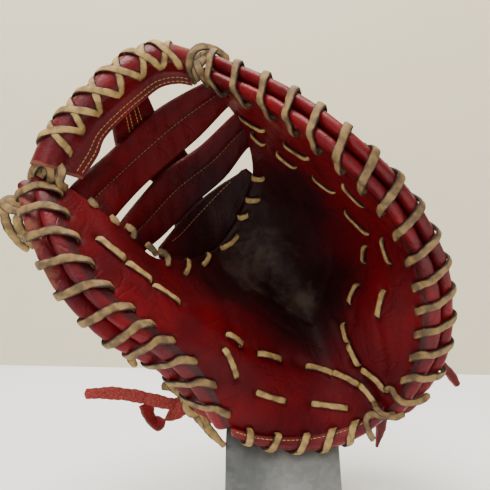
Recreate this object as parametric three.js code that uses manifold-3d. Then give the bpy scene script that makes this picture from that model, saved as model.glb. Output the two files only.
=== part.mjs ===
// A right-hander's first baseman mitt, worn on the left hand, standing open on a bent metal sheet.
// Millimetres, +Z up. The catching side faces -Y. The mitt is modelled in a frame of its own
// (x to the finger side, y away from the catcher, z to the web), which then leans a little.
import * as THREE from 'three';
import { mergeVertices } from 'three/addons/utils/BufferGeometryUtils.js';
import Module from 'manifold-3d';

const wasm = await Module();
wasm.setup();

// Driving dimensions of the mitt's main form.
const MITT_WIDTH = 280;
const MITT_HEIGHT = 285;
const BOWL_DEPTH = 160;

// Leather, padding and the room for the hand.
const PALM_LEATHER = 4;
const RIM_PAD = 7;
const HEEL_PAD = 8;
const BACK_LEATHER = 2.6;
const FINGER_ROOM = 24;
const THUMB_ROOM = 18;
const WRIST_ROOM = 40;
const STRAP_THICK = 4;

// Welt and binding that finish the rim, and the binding of the heel.
const WELT_WIDE = 8.4;
const THUMB_WELT_REACH = 10;
const FINGER_WELT_REACH = 8.6;
const BINDING_WIDE = 9;
const THUMB_BINDING_REACH = 18;
const FINGER_BINDING_REACH = 12;
const HEEL_BINDING = 2.4;
const HEEL_EASE = 1.5;
const HEEL_LAP = 9;

// Lacing.
const LACE_WIDE = 5.6;
const LACE_THICK = 2.4;
const LACE_INSET = 5.5;
const THUMB_WRAPS = 11;
const FINGER_WRAPS = 15;
const HEEL_WRAPS = 5;
const LOOP_CROSSINGS = 6;

// Web.
const LOOP_NOSE = 11;
const LOOP_WALL = 2.6;
const LOOP_FLANGE = 5;
const BAR_THICK = 6;
const POST_THICK = 4;
const BASE_THICK = 4;

// Stand: one bent steel sheet.
const STAND_SHEET = 3;
const STAND_BEND = 9;
const TONGUE_WIDE = 88;
const TONGUE_SIDE = 29;
const TONGUE_REACH = 72;
const TONGUE_TOP = 58;
const TONGUE_CORNER = 10;
const TONGUE_LEAN = 33;
const HEEL_HEIGHT = 68;
const FOOT_LONG = 165;
const FOOT_CORNER = 10;
const MITT_LEAN = 5;

// Clearance between two pieces that lie on each other, and round what is bent over a curve.
const GAP = 0.35;
const EASE = 0.8;

// Shape of the palm, from the web to the heel. Each point is a share of MITT_WIDTH to the
// finger side, of BOWL_DEPTH away from the catcher and of MITT_HEIGHT up.
const PALM_SECTIONS = [
  {
    at: 'web edge',
    thumbRim: [-0.470, -0.156, 0.159], thumbPad: [-0.406, -0.138, 0.127], thumbCrest: [-0.315, -0.090, 0.056],
    thumbInner: [-0.223, 0.063, -0.034], pocket: [-0.079, 0.410, -0.006], fingerInner: [0.015, 0.375, 0.158],
    fingerWall: [0.003, 0.225, 0.287], fingerUpper: [-0.048, 0.113, 0.364], fingerRim: [-0.100, 0.000, 0.410],
  },
  {
    at: 'web base',
    thumbRim: [-0.427, -0.238, 0.062], thumbPad: [-0.364, -0.188, 0.037], thumbCrest: [-0.284, -0.138, -0.010],
    thumbInner: [-0.177, 0.075, -0.090], pocket: [0.003, 0.513, -0.051], fingerInner: [0.074, 0.425, 0.114],
    fingerWall: [0.068, 0.175, 0.233], fingerUpper: [0.070, -0.050, 0.279], fingerRim: [0.064, -0.219, 0.303],
  },
  {
    at: 'upper pocket',
    thumbRim: [-0.363, -0.288, -0.047], thumbPad: [-0.295, -0.213, -0.063], thumbCrest: [-0.211, -0.138, -0.096],
    thumbInner: [-0.112, 0.088, -0.136], pocket: [0.070, 0.550, -0.092], fingerInner: [0.174, 0.425, 0.056],
    fingerWall: [0.198, 0.156, 0.130], fingerUpper: [0.200, -0.125, 0.163], fingerRim: [0.195, -0.388, 0.183],
  },
  {
    at: 'lower pocket',
    thumbRim: [-0.274, -0.288, -0.142], thumbPad: [-0.201, -0.200, -0.151], thumbCrest: [-0.116, -0.100, -0.172],
    thumbInner: [-0.013, 0.138, -0.177], pocket: [0.137, 0.513, -0.147], fingerInner: [0.250, 0.400, -0.049],
    fingerWall: [0.300, 0.175, 0.019], fingerUpper: [0.316, -0.094, 0.051], fingerRim: [0.319, -0.344, 0.064],
  },
  {
    at: 'palm',
    thumbRim: [-0.192, -0.225, -0.212], thumbPad: [-0.110, -0.125, -0.233], thumbCrest: [-0.018, 0.000, -0.257],
    thumbInner: [0.088, 0.200, -0.265], pocket: [0.205, 0.344, -0.236], fingerInner: [0.282, 0.188, -0.162],
    fingerWall: [0.337, 0.038, -0.115], fingerUpper: [0.379, -0.088, -0.095], fingerRim: [0.415, -0.200, -0.089],
  },
  {
    at: 'heel pad',
    thumbRim: [-0.101, -0.088, -0.321], thumbPad: [-0.028, 0.000, -0.352], thumbCrest: [0.061, 0.100, -0.384],
    thumbInner: [0.150, 0.175, -0.389], pocket: [0.239, 0.200, -0.365], fingerInner: [0.312, 0.138, -0.317],
    fingerWall: [0.368, 0.050, -0.279], fingerUpper: [0.408, -0.025, -0.254], fingerRim: [0.436, -0.088, -0.243],
  },
  {
    at: 'heel edge',
    thumbRim: [-0.037, 0.050, -0.474], thumbPad: [0.029, 0.075, -0.504], thumbCrest: [0.101, 0.094, -0.521],
    thumbInner: [0.176, 0.106, -0.523], pocket: [0.242, 0.100, -0.509], fingerInner: [0.296, 0.088, -0.486],
    fingerWall: [0.334, 0.070, -0.458], fingerUpper: [0.365, 0.045, -0.427], fingerRim: [0.392, 0.000, -0.397],
  },
];
const ACROSS = ['thumbRim', 'thumbPad', 'thumbCrest', 'thumbInner', 'pocket',
  'fingerInner', 'fingerWall', 'fingerUpper', 'fingerRim'];

// The web's pieces between an outer and an inner rail, as shares of the same three sizes.
const LOOP_SECTIONS = [
  { outer: [-0.514, -0.188, 0.189], inner: [-0.400, -0.113, 0.157] },
  { outer: [-0.485, -0.175, 0.257], inner: [-0.366, -0.088, 0.215] },
  { outer: [-0.441, -0.156, 0.320], inner: [-0.352, -0.063, 0.262] },
  { outer: [-0.389, -0.138, 0.377], inner: [-0.312, -0.031, 0.313] },
  { outer: [-0.331, -0.113, 0.434], inner: [-0.264, 0.000, 0.362] },
  { outer: [-0.269, -0.075, 0.482], inner: [-0.220, 0.025, 0.400] },
  { outer: [-0.202, -0.038, 0.501], inner: [-0.175, 0.050, 0.414] },
  { outer: [-0.142, 0.000, 0.494], inner: [-0.138, 0.075, 0.412] },
];
const UPPER_BAR_SECTIONS = [
  { outer: [-0.356, 0.038, 0.235], inner: [-0.278, 0.088, 0.143] },
  { outer: [-0.282, 0.075, 0.310], inner: [-0.202, 0.138, 0.217] },
  { outer: [-0.210, 0.100, 0.370], inner: [-0.120, 0.163, 0.291] },
];
const LOWER_BAR_SECTIONS = [
  { outer: [-0.287, 0.125, 0.118], inner: [-0.217, 0.188, 0.030] },
  { outer: [-0.218, 0.200, 0.203], inner: [-0.147, 0.275, 0.108] },
  { outer: [-0.126, 0.250, 0.272], inner: [-0.057, 0.313, 0.188] },
];
const BASE_RAIL = [
  [-0.232, 0.140, -0.006], [-0.201, 0.260, 0.044], [-0.154, 0.350, 0.106],
  [-0.085, 0.388, 0.165], [-0.010, 0.388, 0.212],
];
const POST_SECTIONS = [
  { outer: [-0.345, 0.160, 0.246], inner: [-0.237, 0.168, 0.342] },
  { outer: [-0.309, 0.235, 0.215], inner: [-0.209, 0.240, 0.311] },
  { outer: [-0.271, 0.310, 0.182], inner: [-0.174, 0.320, 0.271] },
  { outer: [-0.230, 0.380, 0.140], inner: [-0.140, 0.415, 0.216] },
];

// Free ends and knots of the lacing, as shares of the same three sizes.
const THUMB_TAIL = [
  [-0.525, -0.093, 0.100], [-0.572, -0.060, 0.104], [-0.606, -0.063, 0.088], [-0.603, -0.069, 0.040],
  [-0.585, -0.069, 0.005], [-0.553, -0.063, -0.022],
];
const THUMB_KNOT = [
  [-0.598, -0.040, 0.082], [-0.564, -0.035, 0.062], [-0.550, -0.050, 0.030], [-0.538, -0.050, -0.012],
];
const HEEL_TAIL = [
  [-0.195, -0.034, -0.328], [-0.191, 0.050, -0.359], [-0.173, 0.112, -0.388], [-0.152, 0.145, -0.422],
  [-0.126, 0.160, -0.460], [-0.091, 0.175, -0.503], [-0.054, 0.180, -0.541],
];
const STRAP_TAIL = [
  [-0.112, 0.150, -0.411], [-0.153, 0.206, -0.415], [-0.196, 0.190, -0.432], [-0.255, 0.150, -0.421], [-0.315, 0.130, -0.397],
  [-0.380, 0.110, -0.385], [-0.437, 0.100, -0.387],
];
const STRAP_FOLD = [
  [-0.150, 0.190, -0.450], [-0.192, 0.170, -0.467], [-0.238, 0.130, -0.484], [-0.262, 0.130, -0.458],
  [-0.262, 0.150, -0.424],
];
const SIDE_TAIL = [
  [0.493, 0.085, -0.281], [0.510, 0.062, -0.302], [0.530, 0.030, -0.326], [0.548, 0.010, -0.357],
];
const LOW_TAIL = [
  [0.374, 0.176, -0.450], [0.370, 0.163, -0.480], [0.362, 0.150, -0.508], [0.354, 0.140, -0.536],
];
const TAN_TAIL = [
  [-0.245, -0.108, -0.234], [-0.253, -0.020, -0.265], [-0.247, 0.050, -0.300],
];

const mix = THREE.MathUtils.lerp;
const smooth = (low, high, x) => THREE.MathUtils.smoothstep(x, low, high);
const sized = ([x, y, z]) => new THREE.Vector3(x * MITT_WIDTH, y * BOWL_DEPTH, z * MITT_HEIGHT);

// Smooth curve through evenly spaced rows of numbers, at t from 0 to 1.
function through(rows, t) {
  const span = rows.length - 1;
  const at = Math.min(Math.max(t, 0), 1) * span;
  const i = Math.min(Math.floor(at), span - 1);
  const f = at - i;
  const row = (k) => {
    if (k < 0) return rows[0].map((v, j) => 2 * v - rows[1][j]);
    if (k > span) return rows[span].map((v, j) => 2 * v - rows[span - 1][j]);
    return rows[k];
  };
  const [a, b, c, d] = [row(i - 1), row(i), row(i + 1), row(i + 2)];
  return b.map((v, j) => v + 0.5 * f * (c[j] - a[j]
    + f * (2 * a[j] - 5 * v + 4 * c[j] - d[j] + f * (3 * (v - c[j]) + d[j] - a[j]))));
}

// Closed body of any points and triangles, with its faces turned outwards.
function closed(points, index) {
  const geometry = new THREE.BufferGeometry();
  geometry.setAttribute('position', new THREE.Float32BufferAttribute(points.flatMap((p) => p.toArray()), 3));
  geometry.setIndex(index);
  if (solid(geometry).volume() > 0) return geometry;
  for (let i = 0; i < index.length; i += 3) [index[i + 1], index[i + 2]] = [index[i + 2], index[i + 1]];
  geometry.setIndex(index);
  return geometry;
}

function solid(geometry) {
  const bare = new THREE.BufferGeometry();
  bare.setAttribute('position', geometry.getAttribute('position'));
  if (geometry.index) bare.setIndex(geometry.index);
  const merged = mergeVertices(bare, 1e-4);
  return new wasm.Manifold(new wasm.Mesh({
    numProp: 3,
    vertProperties: new Float32Array(merged.getAttribute('position').array),
    triVerts: new Uint32Array(merged.index.array),
  }));
}

function fromSolid(body) {
  const mesh = body.getMesh();
  const geometry = new THREE.BufferGeometry();
  geometry.setAttribute('position', new THREE.BufferAttribute(mesh.vertProperties, 3));
  geometry.setIndex(new THREE.BufferAttribute(mesh.triVerts, 1));
  return geometry;
}

// Body between a front and a back face, given over a grid of u and v from 0 to 1.
function slab(nu, nv, front, back) {
  const points = [];
  for (const face of [front, back]) {
    for (let i = 0; i <= nu; i += 1) {
      for (let j = 0; j <= nv; j += 1) points.push(face(i / nu, j / nv));
    }
  }
  const wide = nv + 1;
  const other = (nu + 1) * wide;
  const index = [];
  const quad = (a, b, c, d) => index.push(a, b, c, a, c, d);
  for (let i = 0; i < nu; i += 1) {
    for (let j = 0; j < nv; j += 1) {
      const a = i * wide + j;
      quad(a, a + 1, a + wide + 1, a + wide);
      quad(other + a, other + a + wide, other + a + wide + 1, other + a + 1);
    }
    const a = i * wide;
    quad(a, a + wide, other + a + wide, other + a);
    quad(a + nv, other + a + nv, other + a + wide + nv, a + wide + nv);
  }
  for (let j = 0; j < nv; j += 1) {
    quad(j, other + j, other + j + 1, j + 1);
    const a = nu * wide + j;
    quad(a, a + 1, other + a + 1, other + a);
  }
  return closed(points, index);
}

// Body lofted through rings of points, with flat ends cut after a ring's plane outline.
function loft(rings, outline) {
  const count = rings[0].length;
  const index = [];
  for (let i = 0; i < rings.length - 1; i += 1) {
    for (let j = 0; j < count; j += 1) {
      const a = i * count + j;
      const b = i * count + ((j + 1) % count);
      index.push(a, b, b + count, a, b + count, a + count);
    }
  }
  const last = (rings.length - 1) * count;
  const ends = THREE.ShapeUtils.triangulateShape(outline, []);
  const flip = THREE.ShapeUtils.isClockWise(outline);
  for (const [a, b, c] of ends) {
    index.push(...(flip ? [a, b, c, last + a, last + c, last + b] : [a, c, b, last + a, last + b, last + c]));
  }
  return closed(rings.flat(), index);
}

// Flat strip carried along a route of places { at, face, wide, thick } with mitred bends. The
// face is the way that its outer side looks, and side, where given, is the way of its width. A
// plain place is mitred across its thickness alone.
const STRIP_CORNERS = [[-1, -1], [1, -1], [1, 1], [-1, 1]].map(([x, y]) => new THREE.Vector2(x, y));
function strip(route) {
  const rings = route.map((place, i) => {
    const before = route[Math.max(i - 1, 0)].at;
    const after = route[Math.min(i + 1, route.length - 1)].at;
    const coming = place.at.clone().sub(before).normalize();
    const going = after.clone().sub(place.at).normalize();
    const tangent = coming.clone().add(going).normalize();
    const face = place.face.clone().projectOnPlane(tangent).normalize();
    const side = place.side ? place.side.clone() : face.clone().cross(tangent);
    if (place.side) face.copy(tangent).cross(side).normalize();
    const bend = going.clone().sub(coming);
    const stretch = bend.length() > 0.2 ? 1 / Math.max(tangent.dot(going), 0.5) - 1 : 0;
    if (place.plain) bend.copy(face);
    bend.projectOnPlane(tangent).normalize();
    return STRIP_CORNERS.map((corner) => {
      const offset = side.clone().multiplyScalar(corner.x * (place.wide ?? LACE_WIDE) / 2)
        .addScaledVector(face, corner.y * (place.thick ?? LACE_THICK) / 2);
      offset.addScaledVector(bend, offset.dot(bend) * stretch);
      return place.at.clone().add(offset);
    });
  });
  return loft(rings, STRIP_CORNERS);
}

// Point of the palm's catching face: s runs from web to heel, w from thumb rim to finger rim.
const PALM_ROWS = PALM_SECTIONS.map((section) => ACROSS.map((name) => section[name]));
function palm(s, w) {
  return sized(through(PALM_ROWS.map((row) => through(row, w)), s));
}

// The palm's slopes along s and w, and its normal, which points to the back of the mitt.
const SLOPE_STEP = 0.004;
function slopes(s, w) {
  const [s0, s1] = [Math.max(s - SLOPE_STEP, 0), Math.min(s + SLOPE_STEP, 1)];
  const [w0, w1] = [Math.max(w - SLOPE_STEP, 0), Math.min(w + SLOPE_STEP, 1)];
  const along = palm(s1, w).sub(palm(s0, w)).divideScalar(s1 - s0);
  const across = palm(s, w1).sub(palm(s, w0)).divideScalar(w1 - w0);
  return { along, across, normal: across.clone().cross(along).normalize() };
}

// Thickness of the padded palm: full at the rim and the heel, bare leather in the pocket.
function palmThick(s, w) {
  const rim = 1 - smooth(0.04, 0.3, Math.min(w, 1 - w));
  const heel = smooth(0.6, 0.9, s);
  return PALM_LEATHER + Math.max(RIM_PAD * rim, HEEL_PAD * heel) * smooth(-0.05, 0.2, s);
}

// Room between the palm and the back leather: for the web's ends, the thumb and the fingers.
const WEB_ROOM = BAR_THICK + EASE;
function handRoom(s, w) {
  const side = Math.min(w, 1 - w) / 0.5;
  const most = w < 0.5 ? THUMB_ROOM : FINGER_ROOM;
  const hand = most * Math.sin(Math.PI * side) ** 1.2 * smooth(0.05, 0.35, s);
  const web = WEB_ROOM * smooth(0, 0.06, side) * (1 - smooth(0.08, 0.2, s));
  return EASE + Math.max(hand, web);
}
const offPalm = (s, w, n) => palm(s, w).addScaledVector(slopes(s, w).normal, n);
const backInner = (s, w) => palmThick(s, w) + handRoom(s, w);
const backOuter = (s, w) => backInner(s, w) + BACK_LEATHER;

// The palm's rows and columns; rows lie closer together at the web and at the heel.
const PALM_STEPS = 13;
const PALM_COLUMNS = 18;
const rowAt = (u) => mix(u, (1 - Math.cos(Math.PI * u)) / 2, 0.5);
const ROWS_AT = Array.from({ length: PALM_STEPS + 1 }, (_, i) => rowAt(i / PALM_STEPS));
const COLUMNS_AT = Array.from({ length: PALM_COLUMNS + 1 }, (_, i) => i / PALM_COLUMNS);

// The three laced edges: where they run on the palm, how s and w change going inboard, where the
// faceted pieces have their rings, and how far a lace runs.
const THUMB = { on: (t) => [t, 0], inward: [0, 1], rings: ROWS_AT, least: -0.02 };
const FINGER = { on: (t) => [t, 1], inward: [0, -1], rings: ROWS_AT, least: -0.02 };
const HEEL = { on: (t) => [1, t], inward: [-1, 0], rings: COLUMNS_AT, least: 0.05 };

// Place at t along an edge, out beyond it (or inboard of it, below 0) and n behind the palm's face.
function offEdge(edge, t, out, n) {
  const [s, w] = edge.on(t);
  const [ds, dw] = edge.inward;
  const here = slopes(s, w);
  const reach = ds ? here.along : here.across;
  if (out < 0) {
    const share = -out / reach.length();
    return offPalm(s + ds * share, w + dw * share, n);
  }
  const along = ds ? here.across : here.along;
  const outward = reach.clone().multiplyScalar(-(ds + dw)).projectOnPlane(along).normalize();
  return palm(s, w).addScaledVector(outward, out).addScaledVector(here.normal, n);
}

// The same place on the flat facets between two rings of the edge's pieces.
function onFacets(edge, t, out, n) {
  const next = edge.rings.findIndex((ring) => ring > t);
  const i = Math.min(Math.max(next < 0 ? edge.rings.length - 1 : next, 1), edge.rings.length - 1);
  const [t0, t1] = [edge.rings[i - 1], edge.rings[i]];
  return offEdge(edge, t0, out, n).lerp(offEdge(edge, t1, out, n), (t - t0) / (t1 - t0));
}

// Directions at a place on an edge: outboard, along the edge and to the back.
function edgeFrame(edge, t, out) {
  const at = offEdge(edge, t, out, 0);
  const back = offEdge(edge, t, out, 1).sub(at).normalize();
  const along = offEdge(edge, t + 0.01, out, 0).sub(offEdge(edge, t - 0.01, out, 0)).projectOnPlane(back);
  const outward = offEdge(edge, t, out + 0.2, 0).sub(at).projectOnPlane(along).projectOnPlane(back).normalize();
  return { outward, back, along: outward.clone().cross(back).normalize() };
}

// Rounded leather roll beyond an edge, from depth n0 backwards. Its rings follow the palm's rows.
const ROLL_TURNS = 7;
const ROLL_GAP = 2 * GAP;
function roll(edge, n0, wide, reach) {
  const outline = [];
  for (let k = 0; k < ROLL_TURNS; k += 1) {
    const turn = Math.PI * (0.5 - k / (ROLL_TURNS - 1));
    outline.push(new THREE.Vector2(
      EASE + reach * Math.max(Math.cos(turn), 0) ** 0.75,
      n0 + (wide / 2) * (1 + Math.sign(turn) * Math.abs(Math.sin(turn)) ** 0.85),
    ));
  }
  const rings = [];
  for (const t of edge.rings) rings.push(outline.map((p) => offEdge(edge, t, p.x, p.y)));
  return loft(rings, outline);
}

// Lace whipped round an edge from t0 to t1: at each hole it comes through to the front, crosses
// the rim and goes round to the back at the next hole.
function whipHoles(t0, t1, count) {
  return Array.from({ length: count }, (_, i) => mix(t0, t1, i / (count - 1)));
}
const LACE_OFF = LACE_THICK / 2 + EASE;
function whip(edge, holes, rim, frontAt, backAt) {
  const place = (t, out, n, faceOut, faceBack, straight) => {
    const frame = edgeFrame(edge, t, out);
    const face = frame.outward.clone().multiplyScalar(faceOut).addScaledVector(frame.back, faceBack);
    const at = onFacets(edge, t, out, n);
    return { at, face, side: straight ? frame.along : undefined, plain: straight };
  };
  const back = (t) => backAt(t) + LACE_OFF + EASE;
  const step = holes[1] - holes[0];
  const route = [];
  const end = Math.max(holes[holes.length - 1] + step, edge.least);
  holes.forEach((t, i) => {
    const next = holes[i + 1] ?? end;
    const to = (share) => mix(t, next, share);
    route.push(place(t, -LACE_INSET, back(t), -1, 1, true));
    route.push(place(t, -LACE_INSET, -frontAt - LACE_OFF, -1, -1, true));
    for (const [share, out, n, faceOut, faceBack] of rim) {
      route.push(place(to(share), out, n, faceOut, faceBack, false));
    }
  });
  route.push(place(end, -LACE_INSET, back(end), 0, 1, false));
  return strip(route);
}

// The lace's way over the rolled rim and over the heel: share of the way to the next hole, out,
// depth and the way that the lace looks there.
const ROLL_DEEP = WELT_WIDE + ROLL_GAP + BINDING_WIDE;
const ROLL_OFF = LACE_OFF + GAP;
const rimWay = (welt, binding) => [
  [0.2, welt * 0.4, -LACE_OFF - GAP, 0, -1],
  [0.34, welt + 0.5 * ROLL_OFF, 0.02 * WELT_WIDE, 0.7, -0.7],
  [0.44, mix(welt, binding, 0.56) + ROLL_OFF, 0.73 * WELT_WIDE, 0.8, -0.6],
  [0.56, binding + EASE + ROLL_OFF, WELT_WIDE + 0.5 * BINDING_WIDE, 1, 0],
  [0.66, binding + 0.1 * ROLL_OFF, ROLL_DEEP + 0.3 * ROLL_OFF, 0.7, 0.7],
  [0.8, 0, ROLL_DEEP + ROLL_OFF, 0, 1],
];
const HEEL_SKIN = HEEL_EASE + HEEL_BINDING;
const heelDeep = (t) => palmThick(1, t) + HEEL_SKIN;

// Slots for a lace along an edge, cut through the pieces that it holds.
const SLOT_WIDE = LACE_WIDE + 2 * GAP;
const SLOT_THICK = LACE_THICK + 2 * GAP;
const SLOT_DEEP = 60;
function slot(centre, side, axis) {
  const box = new THREE.BoxGeometry(SLOT_WIDE, SLOT_THICK, SLOT_DEEP);
  const level = axis.clone().cross(side).normalize();
  return box.applyMatrix4(new THREE.Matrix4().makeBasis(level.clone().cross(axis).normalize(), level, axis))
    .translate(centre.x, centre.y, centre.z);
}
function edgeSlots(edge, holes) {
  return holes.map((t) => {
    const centre = onFacets(edge, t, -LACE_INSET, 0);
    const axis = onFacets(edge, t, -LACE_INSET, FINGER_ROOM).sub(centre).normalize();
    return slot(centre, edgeFrame(edge, t, -LACE_INSET).along, axis);
  });
}
function cut(geometry, cutters) {
  return fromSolid(cutters.reduce((body, cutter) => body.subtract(solid(cutter)), solid(geometry)));
}

const THUMB_HOLES = whipHoles(0.94, 0.055, THUMB_WRAPS);
const FINGER_HOLES = whipHoles(0.93, 0.04, FINGER_WRAPS);
const HEEL_HOLES = whipHoles(0.62, 0.11, HEEL_WRAPS);
const rimSlots = [...edgeSlots(THUMB, THUMB_HOLES), ...edgeSlots(FINGER, FINGER_HOLES)];
const heelSlots = edgeSlots(HEEL, HEEL_HOLES);

const RED = { color: 0x8c1016, roughness: 0.5, metalness: 0 };
const DARK_RED = { color: 0x6e0d12, roughness: 0.55, metalness: 0 };
const TAN = { color: 0xb39a63, roughness: 0.7, metalness: 0 };
const STEEL = { color: 0xb9bcc0, roughness: 0.3, metalness: 1 };
const mitt = new THREE.Group();
function add(name, geometry, look, group = mitt) {
  const mesh = new THREE.Mesh(geometry, new THREE.MeshStandardMaterial(look));
  mesh.name = name;
  group.add(mesh);
}

// Palm: the padded leather that catches the ball.
const palmBody = slab(
  PALM_STEPS, PALM_COLUMNS,
  (u, v) => palm(rowAt(u), v),
  (u, v) => offPalm(rowAt(u), v, palmThick(rowAt(u), v)),
);
add('palm', cut(palmBody, [...rimSlots, ...heelSlots]), DARK_RED);

// Back leather of one side, from the rim to the seam in the middle, cut away at the wrist.
const WRIST_FLAP = 0.93;
const WRIST_CUT = 0.36;
function backPanel(edge) {
  const wOf = (u) => Math.abs(edge.on(0)[1] - mix(0.008, 0.496, u));
  const sOf = (u, v) => mix(0.03, WRIST_FLAP - WRIST_CUT * smooth(0.2, 0.7, u), v);
  const face = (u, v, deep) => offPalm(sOf(u, v), wOf(u), deep(sOf(u, v), wOf(u)));
  return slab(7, 11, (u, v) => face(u, v, backInner), (u, v) => face(u, v, backOuter));
}
add('thumb_back', cut(backPanel(THUMB), rimSlots), RED);
add('finger_back', cut(backPanel(FINGER), rimSlots), RED);

// Rolled rim: a welt next to the palm and a wider binding behind it.
add('thumb_welt', roll(THUMB, 0, WELT_WIDE, THUMB_WELT_REACH), RED);
add('thumb_binding', roll(THUMB, WELT_WIDE + ROLL_GAP, BINDING_WIDE, THUMB_BINDING_REACH), RED);
add('finger_welt', roll(FINGER, 0, WELT_WIDE, FINGER_WELT_REACH), RED);
add('finger_binding', roll(FINGER, WELT_WIDE + ROLL_GAP, BINDING_WIDE, FINGER_BINDING_REACH), RED);

// Heel binding: a strip of leather folded round the palm's lower edge.
function heelBinding() {
  const lap = [
    [-HEEL_LAP, -HEEL_SKIN, 0], [1, -HEEL_SKIN, 0], [HEEL_SKIN, 0, 0],
    [HEEL_SKIN, 0, 1], [1, HEEL_SKIN, 1], [-HEEL_LAP, HEEL_SKIN, 1],
    [-HEEL_LAP, HEEL_EASE, 1], [HEEL_EASE, HEEL_EASE, 1], [HEEL_EASE, -HEEL_EASE, 0], [-HEEL_LAP, -HEEL_EASE, 0],
  ];
  const outline = lap.map(([out, n, behind]) => new THREE.Vector2(out, n + behind * HEEL_PAD));
  const rings = [];
  for (let i = 1; i < PALM_COLUMNS; i += 1) {
    const t = i / PALM_COLUMNS;
    rings.push(lap.map(([out, n, behind]) => {
      const inboard = Math.min(out, 0);
      const s = 1 + inboard / slopes(1, t).along.length();
      return offEdge(HEEL, t, out, n + behind * palmThick(s, t));
    }));
  }
  return loft(rings, outline);
}
add('heel_binding', cut(heelBinding(), heelSlots), RED);

// Rim and heel lacing.
const HEEL_WAY = [
  [0.25, HEEL_SKIN * 0.5, -HEEL_SKIN - LACE_OFF - GAP, 0.4, -0.9],
  [0.4, HEEL_SKIN + LACE_OFF + GAP, -HEEL_SKIN * 0.3, 1, -0.3],
  [0.6, HEEL_SKIN + LACE_OFF + GAP, PALM_LEATHER + HEEL_PAD + HEEL_SKIN * 0.3, 1, 0.3],
  [0.75, HEEL_SKIN * 0.5, PALM_LEATHER + HEEL_PAD + HEEL_SKIN + LACE_OFF + GAP, 0.4, 0.9],
];
const inset = (edge, t) => {
  const [s, w] = edge.on(t);
  const here = slopes(s, w);
  const [ds, dw] = edge.inward;
  const share = LACE_INSET / (ds ? here.along : here.across).length();
  return [s + ds * share, w + dw * share];
};
const thumbWay = rimWay(THUMB_WELT_REACH, THUMB_BINDING_REACH);
const fingerWay = rimWay(FINGER_WELT_REACH, FINGER_BINDING_REACH);
add('thumb_lace', whip(THUMB, THUMB_HOLES, thumbWay, 0, (t) => backOuter(...inset(THUMB, t))), TAN);
add('finger_lace', whip(FINGER, FINGER_HOLES, fingerWay, 0, (t) => backOuter(...inset(FINGER, t))), TAN);
add('heel_lace', whip(HEEL, HEEL_HOLES, HEEL_WAY, HEEL_SKIN + GAP, heelDeep), TAN);

// Strip of the web between two rails, in places t along, q across and n behind.
function web(sections) {
  const outer = (t) => new THREE.Vector3(...through(sections.map((row) => row.outer.toArray()), t));
  const inner = (t) => new THREE.Vector3(...through(sections.map((row) => row.inner.toArray()), t));
  return (t, q, n) => {
    const across = inner(t).sub(outer(t));
    const [t0, t1] = [Math.max(t - 0.01, 0), Math.min(t + 0.01, 1)];
    const along = outer(t1).sub(outer(t0)).add(inner(t1).sub(inner(t0)));
    const normal = across.clone().cross(along).normalize();
    if (normal.y < 0) normal.negate();
    return outer(t).addScaledVector(across, q).addScaledVector(normal, n);
  };
}
const rails = (rows) => rows.map((row) => ({ outer: sized(row.outer), inner: sized(row.inner) }));

// The web's pieces end between the palm and the back leather.
const TUCK = 0.022;
const APPROACH = 7;
const tuck = (w, thick) => offPalm(TUCK, w, palmThick(TUCK, w) + EASE + thick / 2);
const approach = (w, thick) => offPalm(0, w, palmThick(0, w) + EASE + thick / 2)
  .addScaledVector(slopes(0, w).along.normalize(), -APPROACH);
const tucked = (outerW, innerW, thick) => ({ outer: tuck(outerW, thick), inner: tuck(innerW, thick) });
const leaving = (outerW, innerW, thick) => ({ outer: approach(outerW, thick), inner: approach(innerW, thick) });

// Web loop: leather folded round a hollow nose and stitched into a flange.
const loopAt = web(rails(LOOP_SECTIONS));
const loopWide = (t) => loopAt(t, 1, 0).distanceTo(loopAt(t, 0, 0));
function loopHalf(t, q) {
  const wide = loopWide(t);
  const at = q * wide;
  if (at < LOOP_NOSE) return Math.sqrt(at * (2 * LOOP_NOSE - at));
  return mix(LOOP_NOSE, LOOP_FLANGE / 2, smooth(LOOP_NOSE, 0.74 * wide, at));
}
const FOLD_SHARES = [1, 0.74, 0.57, 0.4, 0.2, 0.06];
const HOLLOW_SHARES = [0.6, 0.45, 0.3, 0.16];
function foldRing(t, shares, wall) {
  const half = (q) => Math.max(loopHalf(t, q) - wall, 0.3);
  const front = shares.map((q) => [q, -half(q)]);
  const nose = [[wall / loopWide(t), 0]];
  return [...front, ...nose, ...front.map(([q, n]) => [q, -n]).reverse()];
}
function fold(shares, wall, steps, t0, t1) {
  const rings = [];
  for (let i = 0; i <= steps; i += 1) {
    const t = mix(t0, t1, i / steps);
    rings.push(foldRing(t, shares, wall).map(([q, n]) => loopAt(t, q, n)));
  }
  return loft(rings, foldRing(0.5, shares, wall).map(([q, n]) => new THREE.Vector2(q * LOOP_NOSE * 3, n)));
}
const LOOP_HOLE_AT = 0.56;
const LOOP_HOLES = whipHoles(0.1, 0.9, LOOP_CROSSINGS + 1);
function loopFrame(t, q, front) {
  const at = loopAt(t, q, front * loopHalf(t, q));
  const outward = loopAt(t, 0, 0).sub(loopAt(t, 1, 0)).normalize();
  const back = loopAt(t, q, 1).sub(loopAt(t, q, 0)).normalize();
  return { at, outward, back, along: outward.clone().cross(back).normalize() };
}
const loopSlots = LOOP_HOLES.map((t) => {
  const frame = loopFrame(t, LOOP_HOLE_AT, 0);
  return slot(frame.at, frame.along, frame.back);
});
const hollow = fold(HOLLOW_SHARES, LOOP_WALL, 9, 0, 1);
const loopBody = fold(FOLD_SHARES, 0, 9, 0.004, 0.996);
add('web_loop', cut(loopBody, [hollow, ...loopSlots]), RED);

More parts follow.
